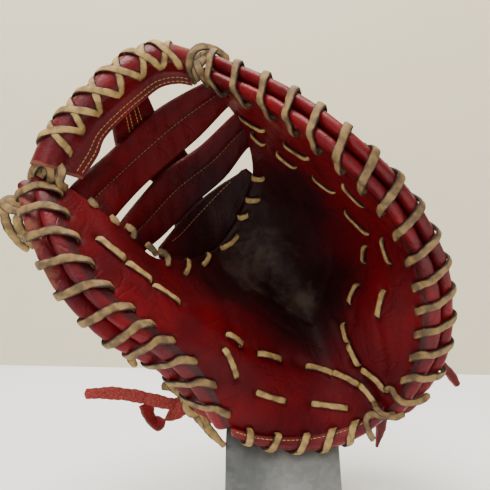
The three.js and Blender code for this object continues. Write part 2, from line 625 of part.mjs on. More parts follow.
// Crossed lacing of the web loop: two laces share the holes and cross on the front.
const LOOP_BEND = [[0.16, -76], [0.39, -26], [0.64, 26], [0.86, 76]];
const LOOP_SHOULDER = (LOOP_HOLE_AT + 0.3) / 2;
function loopHole(t, side) {
  const frame = loopFrame(t, LOOP_HOLE_AT, side);
  frame.at.addScaledVector(frame.back, side * (LACE_OFF + EASE));
  const face = frame.outward.clone().negate().addScaledVector(frame.back, side);
  return { at: frame.at, face, side: frame.along };
}
function shoulder(t, side, lift) {
  const frame = loopFrame(t, LOOP_SHOULDER, side);
  const face = frame.back.multiplyScalar(side);
  return { at: frame.at.addScaledVector(face, LACE_OFF + 2.2 * EASE + lift), face };
}
function overNose(t0, t1, lift) {
  const bend = LOOP_BEND.map(([share, degrees]) => {
    const turn = THREE.MathUtils.degToRad(degrees);
    const t = mix(t0, t1, share);
    const frame = loopFrame(t, LOOP_NOSE / loopWide(t), 0);
    const face = frame.outward.multiplyScalar(Math.cos(turn)).addScaledVector(frame.back, Math.sin(turn));
    return { at: frame.at.addScaledVector(face, LOOP_NOSE + LACE_OFF + 3 * EASE + lift), face };
  });
  return [shoulder(mix(t0, t1, 0.06), -1, lift), ...bend, shoulder(mix(t0, t1, 0.94), 1, lift)];
}
function crossedLace() {
  const up = LOOP_HOLES.slice(0, -1).flatMap((t, i) => [
    loopHole(t, 1), loopHole(t, -1), ...overNose(t, LOOP_HOLES[i + 1], 0),
  ]);
  const last = LOOP_HOLES[LOOP_HOLES.length - 1];
  const down = LOOP_HOLES.slice(0, -1).map((t, i) => {
    const from = LOOP_HOLES[i + 1];
    return strip([loopHole(from, -1), ...overNose(from, t, LACE_THICK * 0.5), loopHole(t, 1)]);
  });
  const whole = solid(strip([...up, loopHole(last, 1), loopHole(last, -1)]));
  return fromSolid(down.reduce((body, leg) => body.add(solid(leg)), whole));
}
add('web_loop_lace', crossedLace(), TAN);

// Web bars: padded strips of leather from the thumb side to the finger side.
function bar(sections) {
  const at = web(sections);
  const bulge = (q) => BAR_THICK * (0.5 - 0.42 * Math.sin(Math.PI * q) ** 0.6);
  return slab(8, 4, (t, q) => at(t, q, bulge(q) - BAR_THICK * 0.5), (t, q) => at(t, q, BAR_THICK * 0.5));
}
function barPiece(name, sections, thumb, finger) {
  add(name, bar([
    tucked(...thumb, BAR_THICK), leaving(...thumb, BAR_THICK), ...rails(sections),
    leaving(...finger, BAR_THICK), tucked(...finger, BAR_THICK),
  ]), DARK_RED);
}
barPiece('web_upper_bar', UPPER_BAR_SECTIONS, [0.115, 0.265], [0.95, 0.84]);
barPiece('web_lower_bar', LOWER_BAR_SECTIONS, [0.285, 0.365], [0.81, 0.7]);

// Web base: the panel between the lowest bar and the pocket.
const BASE_SEAT = (t) => mix(0.4, 0.655, t);
const BASE_BEND = 2 / 3;
const basePanel = web(BASE_RAIL.map((rail, i) => ({
  outer: sized(rail), inner: approach(BASE_SEAT(i / (BASE_RAIL.length - 1)), BASE_THICK),
})));
const baseAt = (t, q, n) => (q > BASE_BEND + 0.1
  ? tuck(BASE_SEAT(t), BASE_THICK + 2 * n)
  : basePanel(t, Math.min(q / BASE_BEND, 1), n));
function plate(at, thick, along, across) {
  return slab(along, across, (t, q) => at(t, q, -thick / 2), (t, q) => at(t, q, thick / 2));
}
add('web_base', plate(baseAt, BASE_THICK, 8, 3), DARK_RED);

// Web post: a strip behind the bars, from the loop's flange to the web base.
const POST_TOP = { outer: 0.4, inner: 0.64, across: 0.86 };
const POST_FOOT = { outer: 0.3, inner: 0.6, across: 0.13 };
const postHead = (t) => loopAt(t, POST_TOP.across, (LOOP_FLANGE + POST_THICK) / 2 + GAP);
const postFoot = (t) => baseAt(t, POST_FOOT.across, (BASE_THICK + POST_THICK) / 2 + 3 * EASE);
const postAt = web([
  { outer: postHead(POST_TOP.outer), inner: postHead(POST_TOP.inner) },
  ...rails(POST_SECTIONS),
  { outer: postFoot(POST_FOOT.outer), inner: postFoot(POST_FOOT.inner) },
]);
add('web_post', plate(postAt, POST_THICK, 10, 1), DARK_RED);

// Wrist strap: bridges the two flaps of the back leather behind the heel of the hand.
const STRAP_SPAN = { from: 0.07, to: 0.88, top: 0.72, foot: 0.88 };
function wristStrap() {
  const at = (u, v, n) => {
    const share = (1 - Math.cos(Math.PI * u)) / 2;
    const w = mix(STRAP_SPAN.from, STRAP_SPAN.to, share);
    const s = mix(STRAP_SPAN.top, STRAP_SPAN.foot, v);
    const arch = WRIST_ROOM * Math.sin(Math.PI * share) ** 0.4;
    return offPalm(s, w, backOuter(s, w < 0.5 ? STRAP_SPAN.from : STRAP_SPAN.to) + 2 * EASE + arch + n);
  };
  return slab(14, 2, (u, v) => at(u, v, 0), (u, v) => at(u, v, STRAP_THICK));
}
add('wrist_strap', wristStrap(), RED);

// Free ends and knots.
function tail(points, look) {
  const steps = points.length * 2;
  const route = [];
  for (let i = 0; i <= steps; i += 1) {
    const t = i / steps;
    const slim = mix(1, look.tip ?? 0.6, smooth(look.from ?? 0.8, 1, t));
    const turn = THREE.MathUtils.degToRad(mix(look.start ?? 0, look.end ?? 0, t));
    route.push({
      at: sized(through(points, t)),
      face: new THREE.Vector3(Math.sin(turn), -Math.cos(turn), look.up ?? 0.3),
      wide: look.wide * slim,
      thick: look.thick,
    });
  }
  return strip(route);
}
const TAIL = { wide: LACE_WIDE + 1.4, thick: LACE_THICK };
const thumbEnd = tail(THUMB_TAIL, { ...TAIL, tip: 0.35, from: 0.5 });
const thumbKnot = tail(THUMB_KNOT, { wide: LACE_WIDE * 1.5, thick: LACE_THICK * 2.2, tip: 0.8 });
add('thumb_tail', fromSolid(solid(thumbEnd).add(solid(thumbKnot))), TAN);
add('heel_tail', tail(HEEL_TAIL, { ...TAIL, wide: LACE_WIDE * 1.2 }), TAN);
const strapEnd = tail(STRAP_TAIL, { wide: LACE_WIDE * 1.35, thick: LACE_THICK, tip: 0.7, up: 0.9 });
const strapFold = tail(STRAP_FOLD, { wide: LACE_WIDE * 1.5, thick: LACE_THICK, tip: 1 });
add('strap_tail', fromSolid(solid(strapEnd).add(solid(strapFold))), RED);
add('side_tail', tail(SIDE_TAIL, { wide: LACE_WIDE * 0.9, thick: LACE_THICK, start: 30, end: 30 }), RED);
add('low_tail', tail(LOW_TAIL, { wide: LACE_WIDE * 1.1, thick: LACE_THICK, start: 40, end: 30 }), RED);
add('small_tail', tail(TAN_TAIL, { wide: LACE_WIDE, thick: LACE_THICK }), TAN);

// The mitt's lean, and its heel's height over the table.
mitt.rotation.x = THREE.MathUtils.degToRad(-MITT_LEAN);
mitt.updateMatrix();
const leaned = (p) => p.applyMatrix4(mitt.matrix);
mitt.position.z = HEEL_HEIGHT - leaned(palm(1, 0.5)).z;
mitt.updateMatrix();

// Stand: a sheet with a foot on the table and a tongue that leans back into the wrist opening,
// parallel to the back of the palm.
const lean = THREE.MathUtils.degToRad(TONGUE_LEAN);
const behind = new THREE.Vector3(0, Math.cos(lean), -Math.sin(lean));
function palmBehind() {
  let most = -Infinity;
  for (let s = 0.66; s <= 1.0001; s += 0.02) {
    for (let w = 0; w <= 1.0001; w += 0.02) {
      const p = leaned(offPalm(s, w, s > 0.95 ? heelDeep(w) : palmThick(s, w)));
      if (Math.abs(p.x - TONGUE_SIDE) < TONGUE_WIDE / 2 + 4) most = Math.max(most, p.dot(behind));
    }
  }
  return most;
}
function rounded(corners, depth) {
  const shape = new THREE.Shape();
  corners.forEach(([x, y, radius], i) => {
    const [bx, by] = corners.at(i - 1);
    const [ax, ay] = corners[(i + 1) % corners.length];
    const towards = (px, py) => new THREE.Vector2(px - x, py - y).setLength(Math.max(radius, 1e-3));
    const [into, from] = [towards(bx, by), towards(ax, ay)];
    if (i === 0) shape.moveTo(x + into.x, y + into.y);
    else shape.lineTo(x + into.x, y + into.y);
    if (radius > 0) shape.quadraticCurveTo(x, y, x + from.x, y + from.y);
  });
  return new THREE.ExtrudeGeometry(shape, { depth, bevelEnabled: false, curveSegments: 4 });
}
function stand() {
  const outer = STAND_BEND + STAND_SHEET;
  const tongueFace = palmBehind() + LACE_OFF + LACE_THICK;
  const middle = new THREE.Vector2((tongueFace + outer * (1 + Math.sin(lean))) / Math.cos(lean), outer);
  const top = leaned(palm(1, 0.5)).z + TONGUE_REACH;
  const onFace = (z, back) => [(tongueFace + back + z * Math.sin(lean)) / Math.cos(lean), z];
  const side = new THREE.Shape();
  side.moveTo(middle.x + FOOT_CORNER, 0);
  side.absarc(middle.x, middle.y, outer, -Math.PI / 2, lean - 1.5 * Math.PI, true);
  side.lineTo(...onFace(top, 0));
  side.lineTo(...onFace(top - STAND_SHEET * Math.sin(lean), STAND_SHEET));
  side.absarc(middle.x, middle.y, STAND_BEND, lean - 1.5 * Math.PI, -Math.PI / 2, false);
  side.lineTo(middle.x + FOOT_CORNER, STAND_SHEET);
  const bent = new THREE.ExtrudeGeometry(side, { depth: TONGUE_WIDE, bevelEnabled: false, curveSegments: 8 });
  bent.applyMatrix4(new THREE.Matrix4().makeBasis(
    new THREE.Vector3(0, 1, 0),
    new THREE.Vector3(0, 0, 1),
    new THREE.Vector3(1, 0, 0),
  ));
  bent.translate(TONGUE_SIDE - TONGUE_WIDE / 2, 0, 0);
  const tongue = rounded([
    [-TONGUE_WIDE / 2, -1, 0], [TONGUE_WIDE / 2, -1, 0], [TONGUE_WIDE / 2, HEEL_HEIGHT, TONGUE_CORNER],
    [TONGUE_TOP / 2, top, TONGUE_CORNER], [-TONGUE_TOP / 2, top, TONGUE_CORNER],
    [-TONGUE_WIDE / 2, HEEL_HEIGHT, TONGUE_CORNER],
  ], 4 * FOOT_LONG);
  tongue.rotateX(Math.PI / 2).translate(TONGUE_SIDE, 2 * FOOT_LONG, 0);
  const foot = rounded([
    [-TONGUE_WIDE / 2, 0, 0], [TONGUE_WIDE / 2, 0, 0],
    [TONGUE_WIDE / 2, FOOT_LONG, FOOT_CORNER], [-TONGUE_WIDE / 2, FOOT_LONG, FOOT_CORNER],
  ], STAND_SHEET);
  foot.translate(TONGUE_SIDE, middle.x, 0);
  return fromSolid(solid(bent).intersect(solid(tongue)).add(solid(foot)));
}
const root = new THREE.Group();
root.add(mitt);
add('display_stand', stand(), STEEL, root);

// The origin is the middle of the whole part's footprint.
const box = new THREE.Box3().setFromObject(root, true);
root.position.set(-(box.min.x + box.max.x) / 2, -(box.min.y + box.max.y) / 2, -box.min.z);

export default root;
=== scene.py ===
# %% [markdown]
# # A first baseman mitt of worn red leather, open on a bent steel sheet
# The mitt is a bowl of padded leather with a rolled rim, a barred web with a folded loop on top,
# and rawhide laces that hold it all together. Nearly every piece follows one smooth surface, the
# catching face, so that face is written first as a function of two numbers, and the rims, backs
# and laces are then placed by how far they lie from it. Each piece is an array of rings of points.

# %% Load the frame
import math

import bpy
import numpy as np
from mathutils import Matrix, Vector


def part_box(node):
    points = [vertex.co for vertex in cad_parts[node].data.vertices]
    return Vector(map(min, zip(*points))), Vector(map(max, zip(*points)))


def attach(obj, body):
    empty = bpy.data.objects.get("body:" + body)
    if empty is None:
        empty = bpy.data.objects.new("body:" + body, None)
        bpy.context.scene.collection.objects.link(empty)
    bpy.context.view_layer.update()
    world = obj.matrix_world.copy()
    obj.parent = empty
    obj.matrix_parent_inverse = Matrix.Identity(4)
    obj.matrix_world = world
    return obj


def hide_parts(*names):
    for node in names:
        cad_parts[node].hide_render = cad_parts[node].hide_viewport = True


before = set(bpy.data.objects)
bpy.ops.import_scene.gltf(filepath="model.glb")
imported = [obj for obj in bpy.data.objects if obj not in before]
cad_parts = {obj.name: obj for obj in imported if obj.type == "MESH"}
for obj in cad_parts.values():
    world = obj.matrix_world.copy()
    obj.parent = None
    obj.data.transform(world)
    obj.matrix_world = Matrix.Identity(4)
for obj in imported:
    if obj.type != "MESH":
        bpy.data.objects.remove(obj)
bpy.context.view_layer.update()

# %% [markdown]
# ## Sizes
# These are the mitt's real sizes in millimetres. The mitt is worked out in a frame of its own,
# x to the finger side, y away from the catcher and z to the web, and placed at the end.

# %% Sizes of the mitt
MITT_SIZE = np.array([280.0, 160.0, 285.0])
PALM_LEATHER = 4
RIM_PAD = 7
HEEL_PAD = 8
BACK_LEATHER = 2.6
FINGER_ROOM = 24
THUMB_ROOM = 18
WRIST_ROOM = 40
STRAP_THICK = 4
WELT_WIDE = 8.4
THUMB_WELT_REACH = 10
FINGER_WELT_REACH = 8.6
BINDING_WIDE = 9
THUMB_BINDING_REACH = 18
FINGER_BINDING_REACH = 12
HEEL_BINDING = 2.4
HEEL_EASE = 1.5
HEEL_LAP = 6.5
HEEL_INSET = 7.8
LACE_WIDE = 6
LACE_THICK = 2.4
LACE_INSET = 5.5
LOOP_NOSE = 11
LOOP_WALL = 2.6
LOOP_FLANGE = 5
BAR_THICK = 6
POST_THICK = 4
BASE_THICK = 4
GAP = 0.35
EASE = 0.8
ROLL_GAP = 2 * GAP
LACE_OFF = LACE_THICK / 2 + EASE

# %% [markdown]
# ## The catching face
# Seven sections run from the web to the heel, and nine lines cross them from the thumb's rim to
# the fingers' rim. Each entry is a share of the mitt's width, depth and height. A bowl like this
# could be sculpted by hand, but a table is easy to change, and one smooth curve through it both
# ways gives the face at any place that a later piece asks for.

# %% Table of the catching face
# Columns: thumb rim, thumb pad, thumb crest, thumb inner, pocket, finger inner, finger wall,
# finger upper, finger rim.
PALM = np.array([
    [  # web edge
        [-0.470, -0.156, 0.159], [-0.406, -0.138, 0.127], [-0.315, -0.090, 0.056],
        [-0.223, 0.063, -0.034], [-0.079, 0.410, -0.006], [0.015, 0.375, 0.158],
        [0.003, 0.225, 0.287], [-0.048, 0.113, 0.364], [-0.100, 0.000, 0.410]],
    [  # web base
        [-0.427, -0.238, 0.062], [-0.364, -0.188, 0.037], [-0.284, -0.138, -0.010],
        [-0.177, 0.075, -0.090], [0.003, 0.513, -0.051], [0.074, 0.425, 0.114],
        [0.068, 0.175, 0.233], [0.070, -0.050, 0.279], [0.064, -0.219, 0.303]],
    [  # upper pocket
        [-0.363, -0.288, -0.047], [-0.295, -0.213, -0.063], [-0.211, -0.138, -0.096],
        [-0.112, 0.088, -0.136], [0.070, 0.550, -0.092], [0.174, 0.425, 0.056],
        [0.198, 0.156, 0.130], [0.200, -0.125, 0.163], [0.195, -0.388, 0.183]],
    [  # lower pocket
        [-0.274, -0.288, -0.142], [-0.201, -0.200, -0.151], [-0.116, -0.100, -0.172],
        [-0.013, 0.138, -0.177], [0.137, 0.513, -0.147], [0.250, 0.400, -0.049],
        [0.300, 0.175, 0.019], [0.316, -0.094, 0.051], [0.319, -0.344, 0.064]],
    [  # palm
        [-0.192, -0.225, -0.212], [-0.110, -0.125, -0.233], [-0.018, 0.000, -0.257],
        [0.088, 0.200, -0.265], [0.205, 0.344, -0.236], [0.282, 0.188, -0.162],
        [0.337, 0.038, -0.115], [0.379, -0.088, -0.095], [0.415, -0.200, -0.089]],
    [  # heel pad
        [-0.101, -0.088, -0.321], [-0.028, 0.000, -0.352], [0.061, 0.100, -0.384],
        [0.150, 0.175, -0.389], [0.239, 0.200, -0.365], [0.312, 0.138, -0.317],
        [0.368, 0.050, -0.279], [0.408, -0.025, -0.254], [0.436, -0.088, -0.243]],
    [  # heel edge
        [-0.037, 0.050, -0.474], [0.029, 0.075, -0.504], [0.101, 0.094, -0.521],
        [0.176, 0.106, -0.523], [0.242, 0.100, -0.509], [0.296, 0.088, -0.486],
        [0.334, 0.070, -0.458], [0.365, 0.045, -0.427], [0.392, 0.000, -0.397]],
]) * MITT_SIZE

# %% Smooth curves and surfaces
def curve_weights(t, count):
    """Weight of each of `count` even rows in a Catmull-Rom curve at t from 0 to 1.

    Between two rows the curve is the cubic that leaves each row in the direction of its
    neighbours; past the ends the rows go on in a straight line.
    """
    t = np.asarray(t, float)
    at = np.clip(t, 0, 1) * (count - 1)
    i = np.minimum(at.astype(int), count - 2)
    f = at - i
    cubic = [-f + 2 * f**2 - f**3, 2 - 5 * f**2 + 3 * f**3, f + 4 * f**2 - 3 * f**3, f**3 - f**2]
    rows = np.arange(-1, count + 1)
    w = sum(0.5 * part[..., None] * (rows == (i + k - 1)[..., None]) for k, part in enumerate(cubic))
    w[..., 1] += 2 * w[..., 0]
    w[..., 2] -= w[..., 0]
    w[..., -2] += 2 * w[..., -1]
    w[..., -3] -= w[..., -1]
    return w[..., 1:-1]


def through(rows, t):
    """Smooth curve through evenly spaced rows, at t from 0 to 1."""
    rows = np.asarray(rows, float)
    return np.tensordot(curve_weights(t, len(rows)), rows, 1)


def smooth(low, high, x):
    """0 below low, 1 above high, and 3x^2 - 2x^3 between."""
    x = np.clip((x - low) / (high - low), 0, 1)
    return x * x * (3 - 2 * x)


def mix(a, b, x):
    """a at 0, b at 1 and a straight line between."""
    return a + (b - a) * x


def length(v):
    return np.linalg.norm(v, axis=-1, keepdims=True)


def unit(v):
    return v / np.maximum(length(v), 1e-9)


def across_plane(v, normal):
    """What is left of v once its part along normal is taken off."""
    normal = unit(normal)
    return v - normal * (v * normal).sum(-1, keepdims=True)


def palm(s, w):
    """Point of the catching face: s from web to heel, w from thumb rim to finger rim."""
    s, w = np.broadcast_arrays(s, w)
    part = np.einsum("...j,ijk->...ik", curve_weights(w, 9), PALM)
    return np.einsum("...i,...ik->...k", curve_weights(s, 7), part)


SLOPE_STEP = 0.004


def slopes(s, w):
    """Slopes of the face along s and w, and its normal, which points to the back of the mitt."""
    s, w = np.broadcast_arrays(np.asarray(s, float), np.asarray(w, float))
    s0, s1 = np.maximum(s - SLOPE_STEP, 0), np.minimum(s + SLOPE_STEP, 1)
    w0, w1 = np.maximum(w - SLOPE_STEP, 0), np.minimum(w + SLOPE_STEP, 1)
    along = (palm(s1, w) - palm(s0, w)) / (s1 - s0)[..., None]
    across = (palm(s, w1) - palm(s, w0)) / (w1 - w0)[..., None]
    return along, across, unit(np.cross(across, along))


print("the catching face is", round(float(np.ptp(PALM[..., 2]))), "mm high")

# %% [markdown]
# ## Thickness behind the face
# Real mitts are padded at the rim and the heel and bare in the pocket, and behind the palm lies
# room for the fingers, the thumb and the web's ends. Each is a formula of the same two numbers,
# so the back leather and the edges can be placed without any measuring.

# %% Padding, rooms and edges
def palm_thick(s, w):
    """Leather, plus rim padding that fades 30 % in, or heel padding that grows to the heel."""
    rim = 1 - smooth(0.04, 0.3, np.minimum(w, 1 - w))
    heel = smooth(0.6, 0.9, s)
    return PALM_LEATHER + np.maximum(RIM_PAD * rim, HEEL_PAD * heel) * smooth(-0.05, 0.2, s)


def hand_room(s, w):
    """Room between palm and back: a half wave for the hand on each side, and for the web's ends."""
    side = np.minimum(w, 1 - w) / 0.5
    most = np.where(w < 0.5, THUMB_ROOM, FINGER_ROOM)
    hand = most * np.sin(np.pi * side).clip(0) ** 1.2 * smooth(0.05, 0.35, s)
    web = (BAR_THICK + EASE) * smooth(0, 0.06, side) * (1 - smooth(0.08, 0.2, s))
    return EASE + np.maximum(hand, web)


def off_palm(s, w, n):
    """Point n millimetres behind the face."""
    return palm(s, w) + slopes(s, w)[2] * np.asarray(n, float)[..., None]


def back_inner(s, w):
    """Depth of the back leather's inner side: the palm's thickness plus the hand's room."""
    return palm_thick(s, w) + hand_room(s, w)


def back_outer(s, w):
    return back_inner(s, w) + BACK_LEATHER


THUMB = {"at": 0.0, "runs": "s", "inward": 1.0, "least": -0.02}
FINGER = {"at": 1.0, "runs": "s", "inward": -1.0, "least": -0.02}
HEEL = {"at": 1.0, "runs": "w", "inward": -1.0, "least": 0.05}


def off_edge(edge, t, out, n):
    """Point at t along an edge, out beyond it or inboard of it, and n behind the face."""
    t, out, n = np.broadcast_arrays(*(np.asarray(v, float) for v in (t, out, n)))
    at = np.full(t.shape, edge["at"])
    s, w = (t, at) if edge["runs"] == "s" else (at, t)
    along, across, normal = slopes(s, w)
    reach, run = (across, along) if edge["runs"] == "s" else (along, across)
    share = edge["inward"] * np.maximum(-out, 0) / length(reach)[..., 0]
    inner = off_palm(s, w + share, n) if edge["runs"] == "s" else off_palm(s + share, w, n)
    outward = unit(across_plane(-edge["inward"] * reach, run))
    outer = palm(s, w) + outward * out[..., None] + normal * n[..., None]
    return np.where((out < 0)[..., None], inner, outer)


def edge_frame(edge, t, out):
    """Directions at a place on an edge: outward and to the back, square to the edge."""
    at = off_edge(edge, t, out, 0)
    back = unit(off_edge(edge, t, out, 1) - at)
    run = across_plane(off_edge(edge, t + 0.01, out, 0) - off_edge(edge, t - 0.01, out, 0), back)
    outward = unit(across_plane(across_plane(off_edge(edge, t, out + 0.2, 0) - at, run), back))
    return outward, back


# %% [markdown]
# ## Where the mitt stands
# The mitt leans back five degrees on its stand. The frame says where the palm is, so the same
# coarse grid of the palm, leaned the same way, gives the shift between the two frames.

# %% Place the mitt in the frame
LEAN = math.radians(-5)
TURN = np.array(Matrix.Rotation(LEAN, 3, "X"))
ROWS, COLUMNS = 13, 18
row_at = np.linspace(0, 1, ROWS + 1)
row_at = mix(row_at, (1 - np.cos(np.pi * row_at)) / 2, 0.5)
grid_s, grid_w = np.meshgrid(row_at, np.linspace(0, 1, COLUMNS + 1), indexing="ij")
coarse = np.concatenate([palm(grid_s, grid_w), off_palm(grid_s, grid_w, palm_thick(grid_s, grid_w))])
SHIFT = np.array(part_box("palm")[0]) * 1000 - (coarse @ TURN.T).min((0, 1))


def placed(points):
    """From the mitt's frame in millimetres to the part's frame in metres."""
    return (np.asarray(points, float) @ TURN.T + SHIFT) / 1000


print("the mitt's frame is shifted by", SHIFT.round(2), "mm")

# %% [markdown]
# ## Camera and stage
# The photograph looks five degrees down from 430 mm in front of the mitt's middle plane. In
# the mitt's own frame that is a level look, so the camera leans with it. A white table ends
# behind the mitt, and a pale wall stands past it.

# %% Camera
CAMERA_AT = np.array([0.0, -430.0, 0.0])
FRAME_PIXELS = 490
FOCAL_PIXELS = 600
camera = bpy.data.objects.new("camera", bpy.data.cameras.new("camera"))
camera.data.angle = 2 * math.atan(FRAME_PIXELS / 2 / FOCAL_PIXELS)
camera.data.clip_start = 0.01
camera.location = placed(CAMERA_AT)
camera.rotation_euler = (math.pi / 2 + LEAN, 0, 0)
bpy.context.scene.collection.objects.link(camera)
bpy.context.scene.camera = camera
print("the camera sees", round(math.degrees(camera.data.angle), 1), "degrees")


def pixel_of(points):
    """Where points of the mitt's frame show in the photograph, in pixels."""
    scale = FOCAL_PIXELS / (points[..., 1] - CAMERA_AT[1])
    return np.stack([FRAME_PIXELS / 2 + points[..., 0] * scale,
                     FRAME_PIXELS / 2 - points[..., 2] * scale], -1)


def at_pixel(row):
    """Point of the mitt's frame that shows at a pixel, at a depth behind the middle plane."""
    x, y, depth = np.moveaxis(np.asarray(row, float), -1, 0)
    scale = (depth - CAMERA_AT[1]) / FOCAL_PIXELS
    return np.stack([(x - FRAME_PIXELS / 2) * scale, depth, (FRAME_PIXELS / 2 - y) * scale], -1)


# %% [markdown]
# ## Helpers for materials
# Every finish here is a small tree of nodes. It could be wired by hand in the shader editor, but
# a few helpers keep each tree to a page: one adds a node with its settings and links, one turns a
# hex colour into the linear values that Blender shades with, and two mix and stretch values.

# %% Colours and nodes
def linear(hex_colour):
    """An sRGB hex colour as linear values."""
    parts = [int(hex_colour[i:i + 2], 16) / 255 for i in (1, 3, 5)]
    return (*[p / 12.92 if p <= 0.04045 else ((p + 0.055) / 1.055) ** 2.4 for p in parts], 1)


def node(tree, kind, inputs=None, **settings):
    """Add one node: settings are its properties, inputs its sockets' values or links."""
    made = tree.nodes.new(kind)
    for key, value in settings.items():
        setattr(made, key, value)
    for key, value in (inputs or {}).items():
        if isinstance(value, bpy.types.NodeSocket):
            tree.links.new(value, made.inputs[key])
        else:
            made.inputs[key].default_value = value
    return made


def new_material(name):
    """An empty material and its node tree."""
    material = bpy.data.materials.new(name)
    material.use_nodes = True
    material.node_tree.nodes.clear()
    return material, material.node_tree


def blend(tree, share, low, high):
    """Mix two colours, given as sockets or linear values, by a share."""
    return node(tree, "ShaderNodeMix", {0: share, 6: low, 7: high}, data_type="RGBA").outputs[2]


def ramp(tree, value, low, high, start=0.0, end=1.0):
    """Stretch a value so that low gives start and high gives end, with a soft step."""
    return node(tree, "ShaderNodeMapRange",
                {"Value": value, "From Min": low, "From Max": high, "To Min": start, "To Max": end},
                interpolation_type="SMOOTHSTEP").outputs["Result"]


def surface_out(tree, shader):
    node(tree, "ShaderNodeOutputMaterial", {"Surface": shader.outputs[0]})


# %% Table and wall
TABLE_BACK = 0.356
TABLE_TURN = math.radians(-3.9)
STAGE_WIDE = 6.0
STAGE_FRONT = 3.0
WALL_HIGH = 4.0


def flat_stage(name, corners, hex_colour, roughness):
    """One big quad of a matt colour, turned with the table's back edge."""
    mesh = bpy.data.meshes.new(name)
    turn = np.array(Matrix.Rotation(TABLE_TURN, 3, "Z"))
    pivot = np.array([0.0, TABLE_BACK, 0.0])
    points = (np.array(corners, float) - pivot) @ turn.T + pivot
    mesh.from_pydata(points.tolist(), [], [(0, 1, 2, 3)])
    material, tree = new_material(name)
    surface_out(tree, node(tree, "ShaderNodeBsdfPrincipled",
                           {"Base Color": linear(hex_colour), "Roughness": roughness}))
    mesh.materials.append(material)
    obj = bpy.data.objects.new(name, mesh)
    bpy.context.scene.collection.objects.link(obj)


half = STAGE_WIDE / 2
flat_stage("table", [(-half, -STAGE_FRONT, 0), (half, -STAGE_FRONT, 0),
                     (half, TABLE_BACK, 0), (-half, TABLE_BACK, 0)], "#f7fbff", 0.5)
flat_stage("wall", [(-half, TABLE_BACK, -0.2), (half, TABLE_BACK, -0.2),
                    (half, TABLE_BACK, WALL_HIGH), (-half, TABLE_BACK, WALL_HIGH)], "#d9ceb2", 0.9)

# %% [markdown]
# ## Light
# The room's light is soft and comes from above and a little from the front, so the rim's upper
# side glows and the pocket falls into shade. A single sun would cut hard shadows, so one large
# panel over the mitt does most of it, two weak ones fill from the front and from the finger side,
# and the world adds an even tone.

# %% Lights
def panel(name, at, aim, size, watts, hex_colour):
    """A square area light at one place that looks at another."""
    light = bpy.data.lights.new(name, "AREA")
    light.size = size
    light.energy = watts
    light.color = linear(hex_colour)[:3]
    obj = bpy.data.objects.new(name, light)
    obj.location = at
    obj.rotation_mode = "QUATERNION"
    obj.rotation_quaternion = (Vector(at) - Vector(aim)).to_track_quat("Z", "Y")
    bpy.context.scene.collection.objects.link(obj)


MIDDLE = (0.0, 0.0, 0.2)
panel("over", (-0.2, -0.15, 1.3), MIDDLE, 0.8, 30, "#fffaf2")
panel("front", (-0.5, -1.3, 0.75), MIDDLE, 1.0, 9, "#f4f7ff")
panel("side", (1.0, -0.2, 0.8), MIDDLE, 0.6, 5, "#fff4e6")
world = bpy.data.worlds.new("room")
world.use_nodes = True
world.node_tree.nodes["Background"].inputs["Color"].default_value = linear("#e9ecf2")
world.node_tree.nodes["Background"].inputs["Strength"].default_value = 0.66
bpy.context.scene.world = world
print(len(bpy.data.lights), "panels light the mitt")

# %% [markdown]
# ## Leather
# The shell is drum-dyed steer hide, waxed by the factory and then polished by use: deep red, with small
# pebbles in its grain, darker where sweat and dirt went in and bare brown where the rim was rubbed.
# Painted shade darkens its creases, the upper pocket, its lace holes and its seam grooves, and a painted
# sheen greys a dusty patch of the pocket. A photograph of hide could be wrapped round it, but patterns
# worked out from real sizes
# fit every piece without seams. The grain is drawn about twice its real size, so that it shows at
# this distance.

# %% Leather shader
RED = "#70080f"
MAROON = "#46050b"
BARE_HIDE = "#6b3c2b"
# The next two colours darken the pocket, partly as a real stain and partly as painted shade over the upper
# pocket. The first also paints shade round holes and in seam grooves.
SOOT_AND_SHADE = "#1b0a08"
WINE = "#2d080b"
# Grey-brown for dust on the pocket together with a painted sheen.
DUST_AND_SHEEN = "#5c4a40"
GRAIN_DEEP = 0.0007
PEBBLE = 0.0022
CRUMPLE = 0.012
CREASE = 0.03
CLOUD = 0.045


